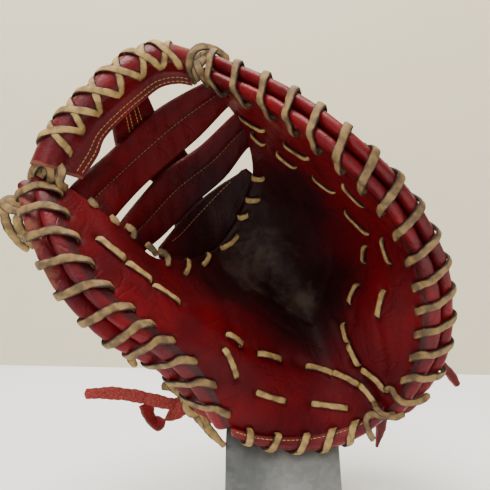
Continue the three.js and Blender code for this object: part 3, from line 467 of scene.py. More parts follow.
def leather(name, light_hex, dark_hex, roughness, wear=0.0, stain=False, shine=0.12):
    """Waxed hide. Attribute ridge says where a rim is rubbed bare, stain where the pocket is darkened by a
    real stain and by painted shade, scuff where dust and a painted sheen lie on it, and hole where painted
    shade sits round a hole and along a seam's groove."""
    material, tree = new_material(name)
    where = node(tree, "ShaderNodeTexCoord").outputs["Object"]
    cloud = node(tree, "ShaderNodeTexNoise", {"Vector": where, "Scale": 1 / CLOUD, "Detail": 4.0})
    crumple = node(tree, "ShaderNodeTexNoise",
                   {"Vector": where, "Scale": 1 / CRUMPLE, "Detail": 5.0, "Roughness": 0.6})
    pebble = node(tree, "ShaderNodeTexVoronoi", {"Vector": where, "Scale": 1 / PEBBLE},
                  feature="SMOOTH_F1")
    tone = ramp(tree, cloud.outputs["Fac"], 0.3, 0.75)
    colour = blend(tree, tone, linear(dark_hex), linear(light_hex))
    speck = ramp(tree, crumple.outputs["Fac"], 0.5, 0.8, 0.0, 0.3)
    colour = blend(tree, speck, colour, linear(dark_hex))
    # Thin noise lines are creases: the bump presses them in, and dirt and painted shade darken their
    # colour.
    line = node(tree, "ShaderNodeTexNoise",
                {"Vector": where, "Scale": 1 / CREASE, "Detail": 3.0, "Distortion": 0.7})
    off = node(tree, "ShaderNodeMath", {0: line.outputs["Fac"], 1: 0.5}, operation="SUBTRACT")
    off = node(tree, "ShaderNodeMath", {0: off.outputs[0]}, operation="ABSOLUTE").outputs[0]
    colour = blend(tree, ramp(tree, off, 0.0, 0.03, 0.4, 0.0), colour, linear(dark_hex))
    rough = ramp(tree, crumple.outputs["Fac"], 0.3, 0.7, roughness - 0.07, roughness + 0.12)
    if wear:
        ridge = node(tree, "ShaderNodeAttribute", attribute_name="ridge").outputs["Fac"]
        rubbed = node(tree, "ShaderNodeMath", {0: ridge, 1: crumple.outputs["Fac"]},
                      operation="MULTIPLY").outputs[0]
        bare = ramp(tree, rubbed, 0.46, 0.6, 0.0, wear)
        colour = blend(tree, bare, colour, linear(BARE_HIDE))
        rough = node(tree, "ShaderNodeMath", {0: rough, 1: bare, 2: rough},
                     operation="MULTIPLY_ADD").outputs[0]
    # The pocket's dark patch is partly a real stain and partly painted shade over the upper pocket.
    if stain:
        dark = node(tree, "ShaderNodeAttribute", attribute_name="stain").outputs["Fac"]
        patchy = node(tree, "ShaderNodeMath", {0: dark, 1: cloud.outputs["Fac"]}, operation="ADD")
        colour = blend(tree, ramp(tree, patchy.outputs[0], 0.6, 1.1), colour, linear(WINE))
        colour = blend(tree, ramp(tree, patchy.outputs[0], 0.85, 1.4), colour, linear(SOOT_AND_SHADE))
        # Dust and a painted sheen grey part of the pocket.
        scuff = node(tree, "ShaderNodeAttribute", attribute_name="scuff").outputs["Fac"]
        dust_and_sheen_mask = node(tree, "ShaderNodeMath", {0: scuff, 1: crumple.outputs["Fac"]},
                     operation="MULTIPLY")
        colour = blend(tree, ramp(tree, dust_and_sheen_mask.outputs[0], 0.2, 0.65, 0.0, 0.5), colour, linear(DUST_AND_SHEEN))
    # Painted shade: the leather darkens round each lace hole and along a seam's groove.
    hole = node(tree, "ShaderNodeAttribute", attribute_name="hole").outputs["Fac"]
    colour = blend(tree, hole, colour, linear(SOOT_AND_SHADE))
    grain = node(tree, "ShaderNodeMath",
                 {0: pebble.outputs["Distance"], 1: 0.55, 2: crumple.outputs["Fac"]},
                 operation="MULTIPLY_ADD")
    height = node(tree, "ShaderNodeMath",
                  {0: ramp(tree, off, 0.0, 0.05), 1: 0.5, 2: grain.outputs[0]},
                  operation="MULTIPLY_ADD")
    bump = node(tree, "ShaderNodeBump",
                {"Height": height.outputs[0], "Strength": 0.6, "Distance": GRAIN_DEEP})
    surface_out(tree, node(tree, "ShaderNodeBsdfPrincipled", {
        "Base Color": colour, "Roughness": rough, "IOR": 1.5, "Normal": bump.outputs[0],
        "Specular IOR Level": shine, "Coat Weight": shine / 4, "Coat Roughness": 0.25}))
    return material


shell_red = leather("waxed_red_hide", RED, MAROON, 0.46)
rim_red = leather("rubbed_rim_hide", RED, MAROON, 0.4, wear=0.85, shine=0.2)
palm_red = leather("oiled_palm_hide", "#63050b", "#430409", 0.5, stain=True, shine=0.08)
web_red = leather("dark_web_hide", "#5c0609", "#330305", 0.5, stain=True, shine=0.08)

# %% [markdown]
# ## Lace and thread
# Rawhide lace is tanned pale with a smooth skin side, a loose flesh side and cut edges that go
# grey-brown with dirt. Pointiness could find such edges only on a fine mesh and in one renderer,
# so each lace carries an attribute of its own that is 1 there. Thread is dyed nylon, too thin to
# show more than one colour and a slight fading.

# %% Lace shaders
LACE_TAN = "#a1834d"
LACE_SHADE = "#7b6037"
WORN_TAN = "#84683f"
WORN_SHADE = "#59462d"
LACE_DIRT = "#2c2018"
FLESH_RED = "#a3453d"
FLESH_SHADE = "#7c2621"
LACE_BLOTCH = 0.00588
FIBRE = 0.0011


def lace_material(name, light_hex, shade_hex, dark_hex, roughness, fuzz=False):
    """Hide strip: skin side mottled with dirt, edges dark, flesh side rough where fuzz is set."""
    material, tree = new_material(name)
    where = node(tree, "ShaderNodeTexCoord").outputs["Object"]
    stain = node(tree, "ShaderNodeTexNoise",
                 {"Vector": where, "Scale": 1 / LACE_BLOTCH, "Detail": 5.0})
    fibre = node(tree, "ShaderNodeTexNoise", {"Vector": where, "Scale": 1 / FIBRE, "Detail": 3.0})
    edge = node(tree, "ShaderNodeAttribute", attribute_name="edge").outputs["Fac"]
    dirty = node(tree, "ShaderNodeMath", {0: edge, 1: stain.outputs["Fac"]}, operation="ADD")
    tone = ramp(tree, stain.outputs["Fac"], 0.35, 0.65)
    colour = blend(tree, tone, linear(light_hex), linear(shade_hex))
    colour = blend(tree, ramp(tree, dirty.outputs[0], 0.6, 1.25), colour, linear(dark_hex))
    if fuzz:
        skin = node(tree, "ShaderNodeAttribute", attribute_name="skin").outputs["Fac"]
        flesh = ramp(tree, fibre.outputs["Fac"], 0.35, 0.7)
        flesh = blend(tree, flesh, linear(FLESH_SHADE), linear(FLESH_RED))
        colour = blend(tree, skin, flesh, colour)
    fine = node(tree, "ShaderNodeBump",
                {"Height": fibre.outputs["Fac"], "Strength": 1.0 if fuzz else 0.5,
                 "Distance": 0.0014 if fuzz else 0.0004})
    surface_out(tree, node(tree, "ShaderNodeBsdfPrincipled", {
        "Base Color": colour, "Roughness": roughness, "IOR": 1.5, "Specular IOR Level": 0.25,
        "Normal": fine.outputs[0]}))
    return material


worn_rawhide = lace_material("worn_rawhide", WORN_TAN, WORN_SHADE, LACE_DIRT, 0.6)
rawhide = lace_material("tan_rawhide", LACE_TAN, LACE_SHADE, LACE_DIRT, 0.6)
red_lace = lace_material("red_suede_lace", "#7c0f14", "#6a0c10", "#6e4c3e", 0.75, fuzz=True)
dark_red_lace = lace_material("dark_red_lace", "#5a0c0f", "#40090b", "#8a4b42", 0.6)


# %% Thread shaders
THREAD_BLOTCH = 0.0025
THREAD_FADE = 0.25


def thread_material(name, hex_colour, roughness):
    """Twisted nylon: one dyed colour that fades by a quarter in small blotches."""
    material, tree = new_material(name)
    where = node(tree, "ShaderNodeTexCoord").outputs["Object"]
    noise = node(tree, "ShaderNodeTexNoise",
                 {"Vector": where, "Scale": 1 / THREAD_BLOTCH, "Detail": 2.0})
    dull = tuple(v * (1 - THREAD_FADE) for v in linear(hex_colour)[:3]) + (1,)
    colour = blend(tree, noise.outputs["Fac"], dull, linear(hex_colour))
    surface_out(tree, node(tree, "ShaderNodeBsdfPrincipled",
                           {"Base Color": colour, "Roughness": roughness}))
    return material


gold_thread = thread_material("gold_thread", "#a9853f", 0.55)
dark_thread = thread_material("dark_thread", "#7a4a22", 0.6)
print("finishes of lace and thread:", rawhide.name, worn_rawhide.name, red_lace.name,
      dark_red_lace.name, gold_thread.name, dark_thread.name)

# %% [markdown]
# ## Rings into meshes
# Almost every piece is a row of closed rings, so one function turns rings into a closed mesh. The
# rings are built so that point i and the i-th from the end face each other, which lets both
# ends be closed with a ladder of quads.

# %% Mesh from rings
def loft(name, rings, material, **attributes):
    """Closed mesh through rings (n, m, 3) in the mitt's frame, with an attribute per point."""
    n, m, _ = rings.shape
    points = placed(rings.reshape(-1, 3))
    i, j = np.meshgrid(np.arange(n - 1), np.arange(m), indexing="ij")
    a = i * m + j
    b = i * m + (j + 1) % m
    sides = np.stack([a, b, b + m, a + m], -1).reshape(-1, 4)
    k = np.arange(m // 2 - 1)
    ladder = np.stack([k, k + 1, m - 2 - k, m - 1 - k], -1)
    faces = np.concatenate([sides, ladder[:, ::-1], ladder + (n - 1) * m])
    p0, p1, p2, p3 = (points[faces[:, c]] for c in range(4))
    volume = (p0 * (np.cross(p1, p2) + np.cross(p2, p3))).sum()
    if volume < 0:
        faces = faces[:, ::-1]
    return mesh_piece(name, points, faces, material, **attributes)


def mesh_piece(name, points, faces, material, **attributes):
    """One smooth-shaded object from arrays, with a float attribute for each keyword."""
    mesh = bpy.data.meshes.new(name)
    mesh.from_pydata(points.tolist(), [], faces.tolist())
    for key, values in attributes.items():
        layer = mesh.attributes.new(key, "FLOAT", "POINT")
        layer.data.foreach_set("value", np.asarray(values, np.float32).reshape(-1))
    mesh.shade_smooth()
    mesh.set_sharp_from_angle(angle=math.radians(60))
    mesh.materials.append(material)
    obj = bpy.data.objects.new(name, mesh)
    bpy.context.scene.collection.objects.link(obj)
    return obj


def stand_for(piece, slot, *nodes):
    """The piece rides with the mitt and hides the solids that it replaces; its argument slot is not used.
    """
    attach(piece, "root")
    if nodes:
        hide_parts(*nodes)
    print(piece.name, "has", len(piece.data.polygons), "faces")


def eased(count, share=0.5):
    """Even steps from 0 to 1 that draw closer together near both ends."""
    t = np.linspace(0, 1, count)
    return mix(t, (1 - np.cos(np.pi * t)) / 2, share)


def travelled(points, axis):
    """Length walked along a grid's lines up to each point."""
    steps = np.moveaxis(length(np.diff(points, axis=axis))[..., 0], axis, 0)
    walked = np.concatenate([np.zeros((1, *steps.shape[1:])), np.cumsum(steps, 0)])
    return np.moveaxis(walked, 0, axis)


def rounding(distance, radius):
    """Share of full thickness near an edge: a quarter circle over the radius."""
    return np.sqrt(np.maximum(1 - (1 - np.clip(distance / radius, 0, 1)) ** 2, 0.002))


def sheet_rings(front, back, radius):
    """Rings of a sheet between two faces (n, m, 3), its borders rounded over a radius."""
    middle, reach = (front + back) / 2, (back - front) / 2
    walked = travelled(middle, 1)
    share = rounding(np.minimum(walked, walked[:, -1:] - walked), radius)
    walked = travelled(middle, 0)
    share = share * rounding(np.minimum(walked, walked[-1:] - walked), radius)
    reach = reach * share[..., None]
    return np.concatenate([middle - reach, (middle + reach)[:, ::-1]], 1)


def domed(rings, radius):
    """Draw a row of rings together over a radius at both ends, as a stuffed roll closes."""
    middle = rings.mean(1, keepdims=True)
    walked = travelled(middle, 0)[:, 0]
    share = rounding(np.minimum(walked, walked[-1] - walked), radius)
    return middle + (rings - middle) * share[:, None, None]


# %% [markdown]
# ## Lace holes and stitches of lace
# Laces go through the rim at even steps, and a second lot of lace is stitched across the palm.
# A stitch is known by the two pixels of the photograph where it dips into the leather, and the
# face under a pixel is found by projecting a fine grid of the face through the same camera.

# %% Rim holes
THUMB_HOLES = np.linspace(0.94, 0.055, 11)
FINGER_HOLES = np.linspace(0.93, 0.04, 15)
HEEL_HOLES = np.linspace(0.62, 0.11, 5)
rim_holes = np.concatenate([
    off_edge(THUMB, THUMB_HOLES, -LACE_INSET, 0),
    off_edge(FINGER, FINGER_HOLES, -LACE_INSET, 0),
    off_edge(HEEL, HEEL_HOLES, -HEEL_INSET, 0),
])

# %% Lace stitches on the palm
STITCH_PIXELS = {
    "web_base": [((251, 179.5), (263, 179.5)), ((240, 199), (260, 199.5)), ((231, 213), (248, 215)),
                 ((222, 248), (238, 235)), ((204, 242), (206, 263)), ((186.5, 254), (188, 272))],
    "thumb_pad": [((98, 237), (126, 259)), ((127, 262), (153, 280)), ((154, 284), (182, 302))],
    "hinge": [((228, 334), (243, 345)), ((224.5, 349), (237, 378)), ((261, 353), (282, 359)),
              ((307, 365), (331, 372)), ((332, 372), (358, 384)), ((359, 385), (374, 402)),
              ((258, 393), (286, 401)), ((312, 404), (347, 408))],
    "heel_row": [((342, 323), (347, 342)), ((347.5, 344), (358, 366)), ((360, 369), (384, 391))],
    "right_wall": [((342, 213), (365, 236)), ((362, 246), (361, 263)), ((379, 240), (387, 265)),
                   ((355, 283), (347, 303)), ((383, 291), (377, 317))],
    "upper_wall": [((237, 118), (261, 133)), ((249, 135), (262, 147)), ((281, 145), (307, 162)),
                   ((274, 154), (294, 170)), ((310, 178), (333, 195)), ((341, 187), (362, 209))],
}
seek_s, seek_w = np.meshgrid(np.linspace(0.0, 1, 220), np.linspace(0, 1, 300), indexing="ij")
seek_points = palm(seek_s, seek_w)
seek_pixels = pixel_of(seek_points)
SEEK_NEAR = 2.5


def under_pixel(pixel):
    """The nearest place (s, w) of the catching face that shows at a pixel."""
    off = np.linalg.norm(seek_pixels - np.array(pixel, float), axis=-1)
    near = off < max(SEEK_NEAR, off.min() + 0.01)
    cost = np.where(near, seek_points[..., 1] + off, np.inf)
    best = np.unravel_index(np.argmin(cost), cost.shape)
    return seek_s[best], seek_w[best]


stitches = {
    group: [(under_pixel(a), under_pixel(b)) for a, b in pairs]
    for group, pairs in STITCH_PIXELS.items()
}
stitch_ends = np.array([end for pairs in stitches.values() for pair in pairs for end in pair])
stitch_holes = palm(stitch_ends[:, 0], stitch_ends[:, 1])
print(len(stitch_holes) // 2, "lace stitches lie on the palm")

# %% [markdown]
# ## Palm
# The palm is a closed slab between the catching face and its padded back. Its face is pressed in
# at every hole, and folded where the hand bends it: a deep crease between two rows of lace at
# the heel, a long fold over the heel pad and short wrinkles round the pocket. A cloth simulation
# could stuff it, but waxed hide hardly gives, so its padding is a formula. Each fold is a
# Gaussian groove along a line on the face, which is quick to work out for all points at once.

# %% Folds of the palm
# Columns: from pixel, to pixel, depth and half width in millimetres.
FOLDS = [
    ((334, 326), (352, 362), 2.6, 4.0), ((352, 362), (380, 405), 3.4, 4.5),
    ((246, 345), (300, 362), 1.6, 5.0), ((300, 362), (352, 384), 2.0, 5.0),
    ((224, 300), (236, 340), 1.4, 6.0), ((300, 330), (340, 352), 0.8, 4.0),
    ((262, 262), (246, 286), 0.9, 2.2), ((272, 270), (262, 296), 0.8, 2.0),
    ((296, 262), (270, 282), 0.8, 2.0), ((318, 300), (292, 290), 0.7, 2.2),
    ((362, 270), (352, 320), 1.0, 4.5), ((205, 268), (228, 296), 0.9, 4.0),
    ((330, 250), (322, 290), 0.9, 4.0), ((378, 330), (384, 368), 0.8, 4.0),
    ((236, 298), (296, 334), 1.3, 2.6), ((252, 284), (312, 322), 1.2, 2.4),
    ((226, 274), (262, 298), 1.0, 2.2), ((298, 254), (330, 276), 1.1, 2.2),
    ((284, 240), (322, 260), 1.0, 2.0), ((320, 296), (340, 334), 1.2, 2.4),
]
DIMPLE = 1.5
DIMPLE_WIDE = 3.4
HOLE_WIDE = 2.2
UNEVEN = 0.5


def to_segment(points, a, b):
    """Distance from points to the segment from a to b."""
    span = b - a
    share = np.clip(((points - a) @ span) / (span @ span), 0, 1)
    return np.linalg.norm(points - a - share[..., None] * span, axis=-1)


def nearest(points, targets):
    """Distance from each point to the nearest target."""
    least = np.full(points.shape[:-1], np.inf)
    for target in targets:
        least = np.minimum(least, np.linalg.norm(points - target, axis=-1))
    return least


def relief(points, s, w):
    """How far the face is pressed in: holes, folds and a slow unevenness."""
    press = DIMPLE * np.exp(-(nearest(points, rim_holes) / DIMPLE_WIDE) ** 2)
    press = press + DIMPLE * np.exp(-(nearest(points, stitch_holes) / DIMPLE_WIDE) ** 2)
    for a, b, deep, wide in FOLDS:
        start, end = palm(*under_pixel(a)), palm(*under_pixel(b))
        press = press + deep * np.exp(-(to_segment(points, start, end) / wide) ** 2)
    slow = np.sin(9 * s + 5 * w) * np.sin(14 * w - 4 * s) + 0.5 * np.sin(23 * s) * np.sin(19 * w)
    return press + UNEVEN * slow * smooth(0.02, 0.15, np.minimum(w, 1 - w))


# %% Palm mesh
PALM_ROWS, PALM_COLUMNS = 170, 230
PALM_ROUND = 2.4
# Columns: pixel, radius in millimetres.
# The first list marks the pocket's real dark stain together with painted shade over its upper part.
STAIN_AND_SHADE_SPOTS = [((252, 234), 79), ((300, 298), 60)]
# The second list marks dust together with a painted sheen on the pocket.
DUST_AND_SHEEN_SPOTS = [((250, 262), 42), ((298, 300), 28)]
face_s, face_w = np.meshgrid(eased(PALM_ROWS, 0.5), eased(PALM_COLUMNS, 0.4), indexing="ij")
face = palm(face_s, face_w)
pressed = off_palm(face_s, face_w, relief(face, face_s, face_w))
padding = off_palm(face_s, face_w, palm_thick(face_s, face_w))
palm_rings = sheet_rings(pressed, padding, PALM_ROUND)


def both_faces(values):
    """Values of a grid for both faces of its sheet, in the order of the sheet's rings."""
    return np.concatenate([values, values[:, ::-1]], 1)


def spots(points, rows):
    """1 in the middle of some round spots on the face and 0 far from them all."""
    reach = [length(points - palm(*under_pixel(pixel)))[..., 0] / wide for pixel, wide in rows]
    return np.exp(-np.min(reach, axis=0) ** 2)


# A real stain and painted shade darken the pocket round these spots.
stain = spots(face, STAIN_AND_SHADE_SPOTS)
# Dust and a painted sheen lie on the pocket round these spots.
scuff = spots(face, DUST_AND_SHEEN_SPOTS)
all_holes = np.concatenate([rim_holes, stitch_holes])
# Painted shade round every lace hole of the palm.
hole = np.exp(-(nearest(face, all_holes) / HOLE_WIDE) ** 2)
palm_piece = loft("palm_leather", palm_rings, palm_red,
                  stain=both_faces(stain), scuff=both_faces(scuff), hole=both_faces(hole))
stand_for(palm_piece, "palm_leather", "palm")

# %% [markdown]
# ## Back leather and wrist strap
# Two plain panels close the back of the mitt, one over the thumb and one over the fingers, with
# an opening for the wrist that a strap bridges. A Solidify modifier could thicken a single sheet,
# but both faces of each panel come from the catching face at a depth, so the hand's room and the
# leather's thickness are exact.

# %% Back panels
BACK_RIM, BACK_MIDDLE, BACK_TOP = 0.008, 0.496, 0.03
BACK_ROUND = 1.3
WRIST_FLAP = 0.93
WRIST_CUT = 0.36


def hole_backs(edge, holes):
    """Where the laces leave the back leather."""
    return off_edge(edge, holes, -LACE_INSET, PALM_LEATHER + RIM_PAD + EASE + BACK_LEATHER / 2)


rim_backs = np.concatenate([hole_backs(THUMB, THUMB_HOLES), hole_backs(FINGER, FINGER_HOLES)])


def back_panel(name, edge):
    """Half of the back, from the rim to the middle: its foot steps up to clear the wrist."""
    u, v = np.meshgrid(eased(90), eased(130), indexing="ij")
    w = np.abs(edge["at"] - mix(BACK_RIM, BACK_MIDDLE, u))
    s = mix(BACK_TOP, WRIST_FLAP - WRIST_CUT * smooth(0.2, 0.7, u), v)
    inner = off_palm(s, w, back_inner(s, w))
    outer = off_palm(s, w, back_outer(s, w))
    # Painted shade round the lace holes of the back.
    holes = both_faces(np.exp(-(nearest((inner + outer) / 2, rim_backs) / HOLE_WIDE) ** 2))
    return loft(name, sheet_rings(inner, outer, BACK_ROUND), shell_red, hole=holes)


stand_for(back_panel("thumb_back_leather", THUMB), "red_leather", "thumb_back")
stand_for(back_panel("finger_back_leather", FINGER), "red_leather", "finger_back")

# %% Wrist strap
STRAP_FROM, STRAP_TO = 0.07, 0.88
STRAP_TOP, STRAP_FOOT = 0.72, 0.88
STRAP_ROUND = 1.8


def wrist_strap():
    """A strap over the wrist: an arch sin^0.4 over the gap between the two flaps."""
    u, v = np.meshgrid(np.linspace(0, 1, 90), eased(26), indexing="ij")
    share = (1 - np.cos(np.pi * u)) / 2
    w = mix(STRAP_FROM, STRAP_TO, share)
    s = mix(STRAP_TOP, STRAP_FOOT, v)
    arch = WRIST_ROOM * np.sin(np.pi * share).clip(0) ** 0.4
    seat = back_outer(s, np.where(w < 0.5, STRAP_FROM, STRAP_TO)) + 2 * EASE + arch
    rings = sheet_rings(off_palm(s, w, seat), off_palm(s, w, seat + STRAP_THICK), STRAP_ROUND)
    return loft("wrist_strap_leather", rings, shell_red)


stand_for(wrist_strap(), "red_leather", "wrist_strap")

# %% [markdown]
# ## Rolled rim
# Two stuffed rolls of leather finish each side: a slim welt against the palm and a wider binding
# behind it, with a dark groove between. Pulled-down laces pinch them, so they swell between two
# laces. A bevelled curve would give round tubes, but these are flattened against each other, so
# the section is half of a superellipse, carried along the rim, and its reach follows the laces.

# %% Rolls
ROLL_STEPS = 420
ROLL_POINTS = 34
AHEAD_STEPS = 14
CORNER_STEPS = 60
THUMB_AHEAD = 9
FINGER_AHEAD = 3
FINGER_PAST = 0.8
ROLL_SEAT = 1
SWELL = 0.6
RIPPLE = 0.35
PINCH = 0.13
ROLL_POWER = 0.58
WELT_LEAN, BINDING_LEAN = 0.34, 0.6
HEEL_THINNER, CORNER_THINNER = 0.42, 0.2


def between_laces(t, holes, lean):
    """1 midway between two laces and 0 under one, where a lace lies lean of a step past its hole."""
    step = holes[1] - holes[0]
    phase = (t - holes[0]) / step - lean
    off = np.abs(phase - np.round(phase))
    return 1 - np.exp(-(off / PINCH) ** 2)


def rim_frames(edge, before, past):
    """Places along a rim with their outward and backward directions. The line starts `before`
    millimetres ahead of the rim, and goes on round the heel's corner as far as `past` on the heel
    edge, where a moving average smooths the directions so that a roll turns in one bend."""
    extra = CORNER_STEPS if past else 0
    t = np.concatenate([np.linspace(0, 1, ROLL_STEPS), np.ones(extra)])
    at = np.concatenate([np.full(ROLL_STEPS, edge["at"]), np.linspace(edge["at"], past or 0, extra)])
    along, across, normal = slopes(t, at)
    side = unit(across_plane(-edge["inward"] * across, along))
    down = unit(across_plane(along, across))
    corner = np.arange(len(t)) - ROLL_STEPS
    place, outward = palm(t, at), np.where(corner[:, None] >= 0, down, side)
    if past:
        kernel = np.hanning(CORNER_STEPS)
        kernel = kernel / kernel.sum()
        near = np.exp(-(corner / CORNER_STEPS) ** 2)[:, None]
        averaged = [np.stack([np.convolve(np.pad(v[:, k], CORNER_STEPS // 2, "edge"), kernel, "valid")
                              for k in range(3)], -1)[:len(t)] for v in (place, outward, normal)]
        place = mix(place, averaged[0], near)
        outward = unit(mix(outward, averaged[1], near))
        normal = unit(across_plane(mix(normal, averaged[2], near), outward))
    ahead = np.linspace(before, 0, AHEAD_STEPS, endpoint=False)[:, None]
    place = np.concatenate([place[0] - unit(place[1] - place[0]) * ahead, place])
    t, outward, normal, corner = (np.concatenate([np.repeat(v[:1], AHEAD_STEPS, 0), v])
                                  for v in (t, outward, normal, corner))
    return t[:, None], smooth(0, CORNER_STEPS, corner)[:, None], place, outward, normal


def roll(name, edge, holes, lean, depth, wide, reach, before, past=None, worn=0.0):
    """Half a superellipse `wide` across and `reach` out. It swells between the laces, ripples by
    a slow wave and grows thinner towards the heel's corner, and its ends close like a dome."""
    t, beyond, place, outward, back = rim_frames(edge, before, past)
    turn = np.pi * (0.5 - np.linspace(0, 1, ROLL_POINTS))[None, :]
    swell = mix(between_laces(t, holes, lean), 1, beyond)
    ripple = RIPPLE * np.sin(61 * t + 2 * turn) * np.sin(23 * t)
    thinner = HEEL_THINNER * smooth(0.84, 1, t) + CORNER_THINNER * beyond
    slim = 1 - (thinner if past else 0)
    full = slim * reach + SWELL * swell + ripple
    out = -ROLL_SEAT + (full + EASE + ROLL_SEAT) * np.cos(turn).clip(0) ** ROLL_POWER
    across = np.sign(turn) * np.abs(np.sin(turn)) ** 0.9
    deep = depth + wide / 2 * (1 + across) + 0 * t
    rings = place[:, None] + outward[:, None] * out[..., None] + back[:, None] * deep[..., None]
    ridge = np.cos(turn).clip(0) ** 0.5 * mix(0.35, 1, swell) * mix(worn, 0.2, smooth(0.25, 0.7, t))
    # Painted shade along both edges of the section, in the grooves along a roll's sides.
    seam = np.exp(-((1 - np.abs(np.sin(turn))) / 0.03) ** 2) * np.ones_like(t)
    return loft(name, domed(rings, wide / 2.2), rim_red, ridge=ridge, hole=0.7 * seam)


DEEP = WELT_WIDE + ROLL_GAP
stand_for(roll("thumb_welt_roll", THUMB, THUMB_HOLES, WELT_LEAN, 0, WELT_WIDE,
               THUMB_WELT_REACH, THUMB_AHEAD, worn=0.7), "red_leather", "thumb_welt")
stand_for(roll("thumb_binding_roll", THUMB, THUMB_HOLES, BINDING_LEAN, DEEP, BINDING_WIDE,
               THUMB_BINDING_REACH, THUMB_AHEAD, worn=1.25), "red_leather", "thumb_binding")
stand_for(roll("finger_welt_roll", FINGER, FINGER_HOLES, WELT_LEAN, 0, WELT_WIDE,
               FINGER_WELT_REACH, FINGER_AHEAD, FINGER_PAST, worn=0.3), "red_leather", "finger_welt")
stand_for(roll("finger_binding_roll", FINGER, FINGER_HOLES, BINDING_LEAN, DEEP, BINDING_WIDE,
               FINGER_BINDING_REACH, FINGER_AHEAD, FINGER_PAST, worn=0.3),
          "red_leather", "finger_binding")

# %% [markdown]
# ## Heel binding
# A strip of leather is folded round the palm's lower edge. Bending a flat strip round a padded
# edge by modifiers would need many of them. Its section is simply one smooth hairpin instead: an
# outer curve and an inner curve, each walked from the front lap to the back lap.

# %% Heel binding
HEEL_SKIN = HEEL_EASE + HEEL_BINDING
HEEL_FROM, HEEL_TO = 0.012, 0.86
# Columns: beyond the edge, depth off the nearer face, and whether that is the back face.
LAP_OUTER = [(-HEEL_LAP, -HEEL_SKIN, 0), (1, -HEEL_SKIN, 0), (HEEL_SKIN, 0, 0.12),
             (HEEL_SKIN, 0, 0.88), (1, HEEL_SKIN, 1), (-HEEL_LAP, HEEL_SKIN, 1)]
LAP_INNER = [(-HEEL_LAP, -HEEL_EASE, 0), (0.2, -HEEL_EASE, 0), (HEEL_EASE, 0, 0.15),
             (HEEL_EASE, 0, 0.85), (0.2, HEEL_EASE, 1), (-HEEL_LAP, HEEL_EASE, 1)]
heel_fronts = off_edge(HEEL, HEEL_HOLES, -HEEL_INSET, -HEEL_SKIN)


def heel_binding():
    """Rings of the hairpin: the outer curve there and the inner curve back again."""
    t = np.linspace(HEEL_FROM, HEEL_TO, 150)[:, None]

    def side(lap):
        out, n, behind = np.moveaxis(through(lap, np.linspace(0, 1, 40)), -1, 0)
        s = 1 + np.minimum(out, 0) / length(slopes(np.ones_like(t), t)[0])[..., 0]
        return off_edge(HEEL, t + 0 * out, out + 0 * t, n + behind * palm_thick(s, t))

    outer, inner = side(LAP_OUTER), side(LAP_INNER)
    rings = np.concatenate([outer, inner[:, ::-1]], 1)
    # Painted shade round the heel's lace holes.
    holes = np.exp(-(nearest(rings, heel_fronts) / HOLE_WIDE) ** 2)
    return loft("heel_binding_leather", rings, rim_red, ridge=0.3 + 0 * holes, hole=holes)


stand_for(heel_binding(), "red_leather", "heel_binding")

# %% [markdown]
# ## Laces
# A lace is one flat strip. A bevelled curve would twist as it likes in the tight bends, so its
# rounded section is carried along a smooth curve here, and a wanted direction of its face keeps
# it flat against what it crosses. The attribute edge is 1 at the cut edges, and skin is 1 on the
# side that looks outwards.

# %% Flat strip along a curve
SECTION_POINTS = 20
LACE_STEPS = 6
SLOW_WAVER, QUICK_WAVER = 0.05, 0.04
section_turn = (np.arange(SECTION_POINTS) + 0.5) / SECTION_POINTS * 2 * np.pi
section_x = np.sign(np.cos(section_turn)) * np.abs(np.cos(section_turn)) ** 0.45
section_y = np.sign(np.sin(section_turn)) * np.abs(np.sin(section_turn)) ** 0.75


def ribbon(name, at, look, material, wide=LACE_WIDE, thick=LACE_THICK, steps=LACE_STEPS):
    """Rounded flat strip through the places `at`, its outer face turned to `look`. Its width
    wavers by the sum of a slow and a quick sine, as hide does that was cut by hand."""
    at, look = np.asarray(at, float), np.asarray(look, float)
    count = (len(at) - 1) * steps + 1
    weights = curve_weights(np.linspace(0, 1, count), len(at))
    centre = weights @ at
    wide = (weights @ np.broadcast_to(np.asarray(wide, float), len(at)))[:, None, None]
    tangent = unit(np.gradient(centre, axis=0))
    side = unit(np.cross(weights @ look, tangent))
    up = np.cross(tangent, side)
    walked = travelled(centre, 0)[:, None, None]
    waver = SLOW_WAVER * np.sin(walked * 0.37) + QUICK_WAVER * np.sin(walked * 1.1 + 2)
    wide = wide * (1 + waver)
    x = section_x[None, :, None]
    y = section_y[None, :, None] * (1 - 0.25 * section_x[None, :, None] ** 2)
    rings = centre[:, None] + side[:, None] * x * wide / 2 + up[:, None] * y * thick / 2
    off_middle = np.abs(section_x)
    edge = 0.3 * smooth(0.3, 0.8, off_middle) + 0.7 * smooth(0.8, 0.96, off_middle)
    edge = np.broadcast_to(edge, rings.shape[:2])
    skin = np.broadcast_to(smooth(-0.2, 0.2, section_y), rings.shape[:2])
    return loft(name, domed(rings, thick / 2), material, edge=edge, skin=skin)


# %% Laces round the rim and the heel
ROLL_DEEP = WELT_WIDE + ROLL_GAP + BINDING_WIDE
SNUG = LACE_THICK / 2 + 0.15


def rim_way(welt, binding):
    """Rows of share of the way to the next hole, out, depth and the way the lace looks."""
    return [
        (0.2, welt * 0.4, -SNUG, 0, -1),
        (0.34, welt + 0.5 * SNUG, 0.02 * WELT_WIDE, 0.7, -0.7),
        (0.44, mix(welt, binding, 0.56) + SNUG, 0.73 * WELT_WIDE, 0.8, -0.6),
        (0.56, binding + EASE + SNUG, WELT_WIDE + 0.5 * BINDING_WIDE, 1, 0),
        (0.66, binding + 0.1 * SNUG, ROLL_DEEP + 0.3 * SNUG, 0.7, 0.7),
        (0.8, 0, ROLL_DEEP + SNUG, 0, 1),
    ]


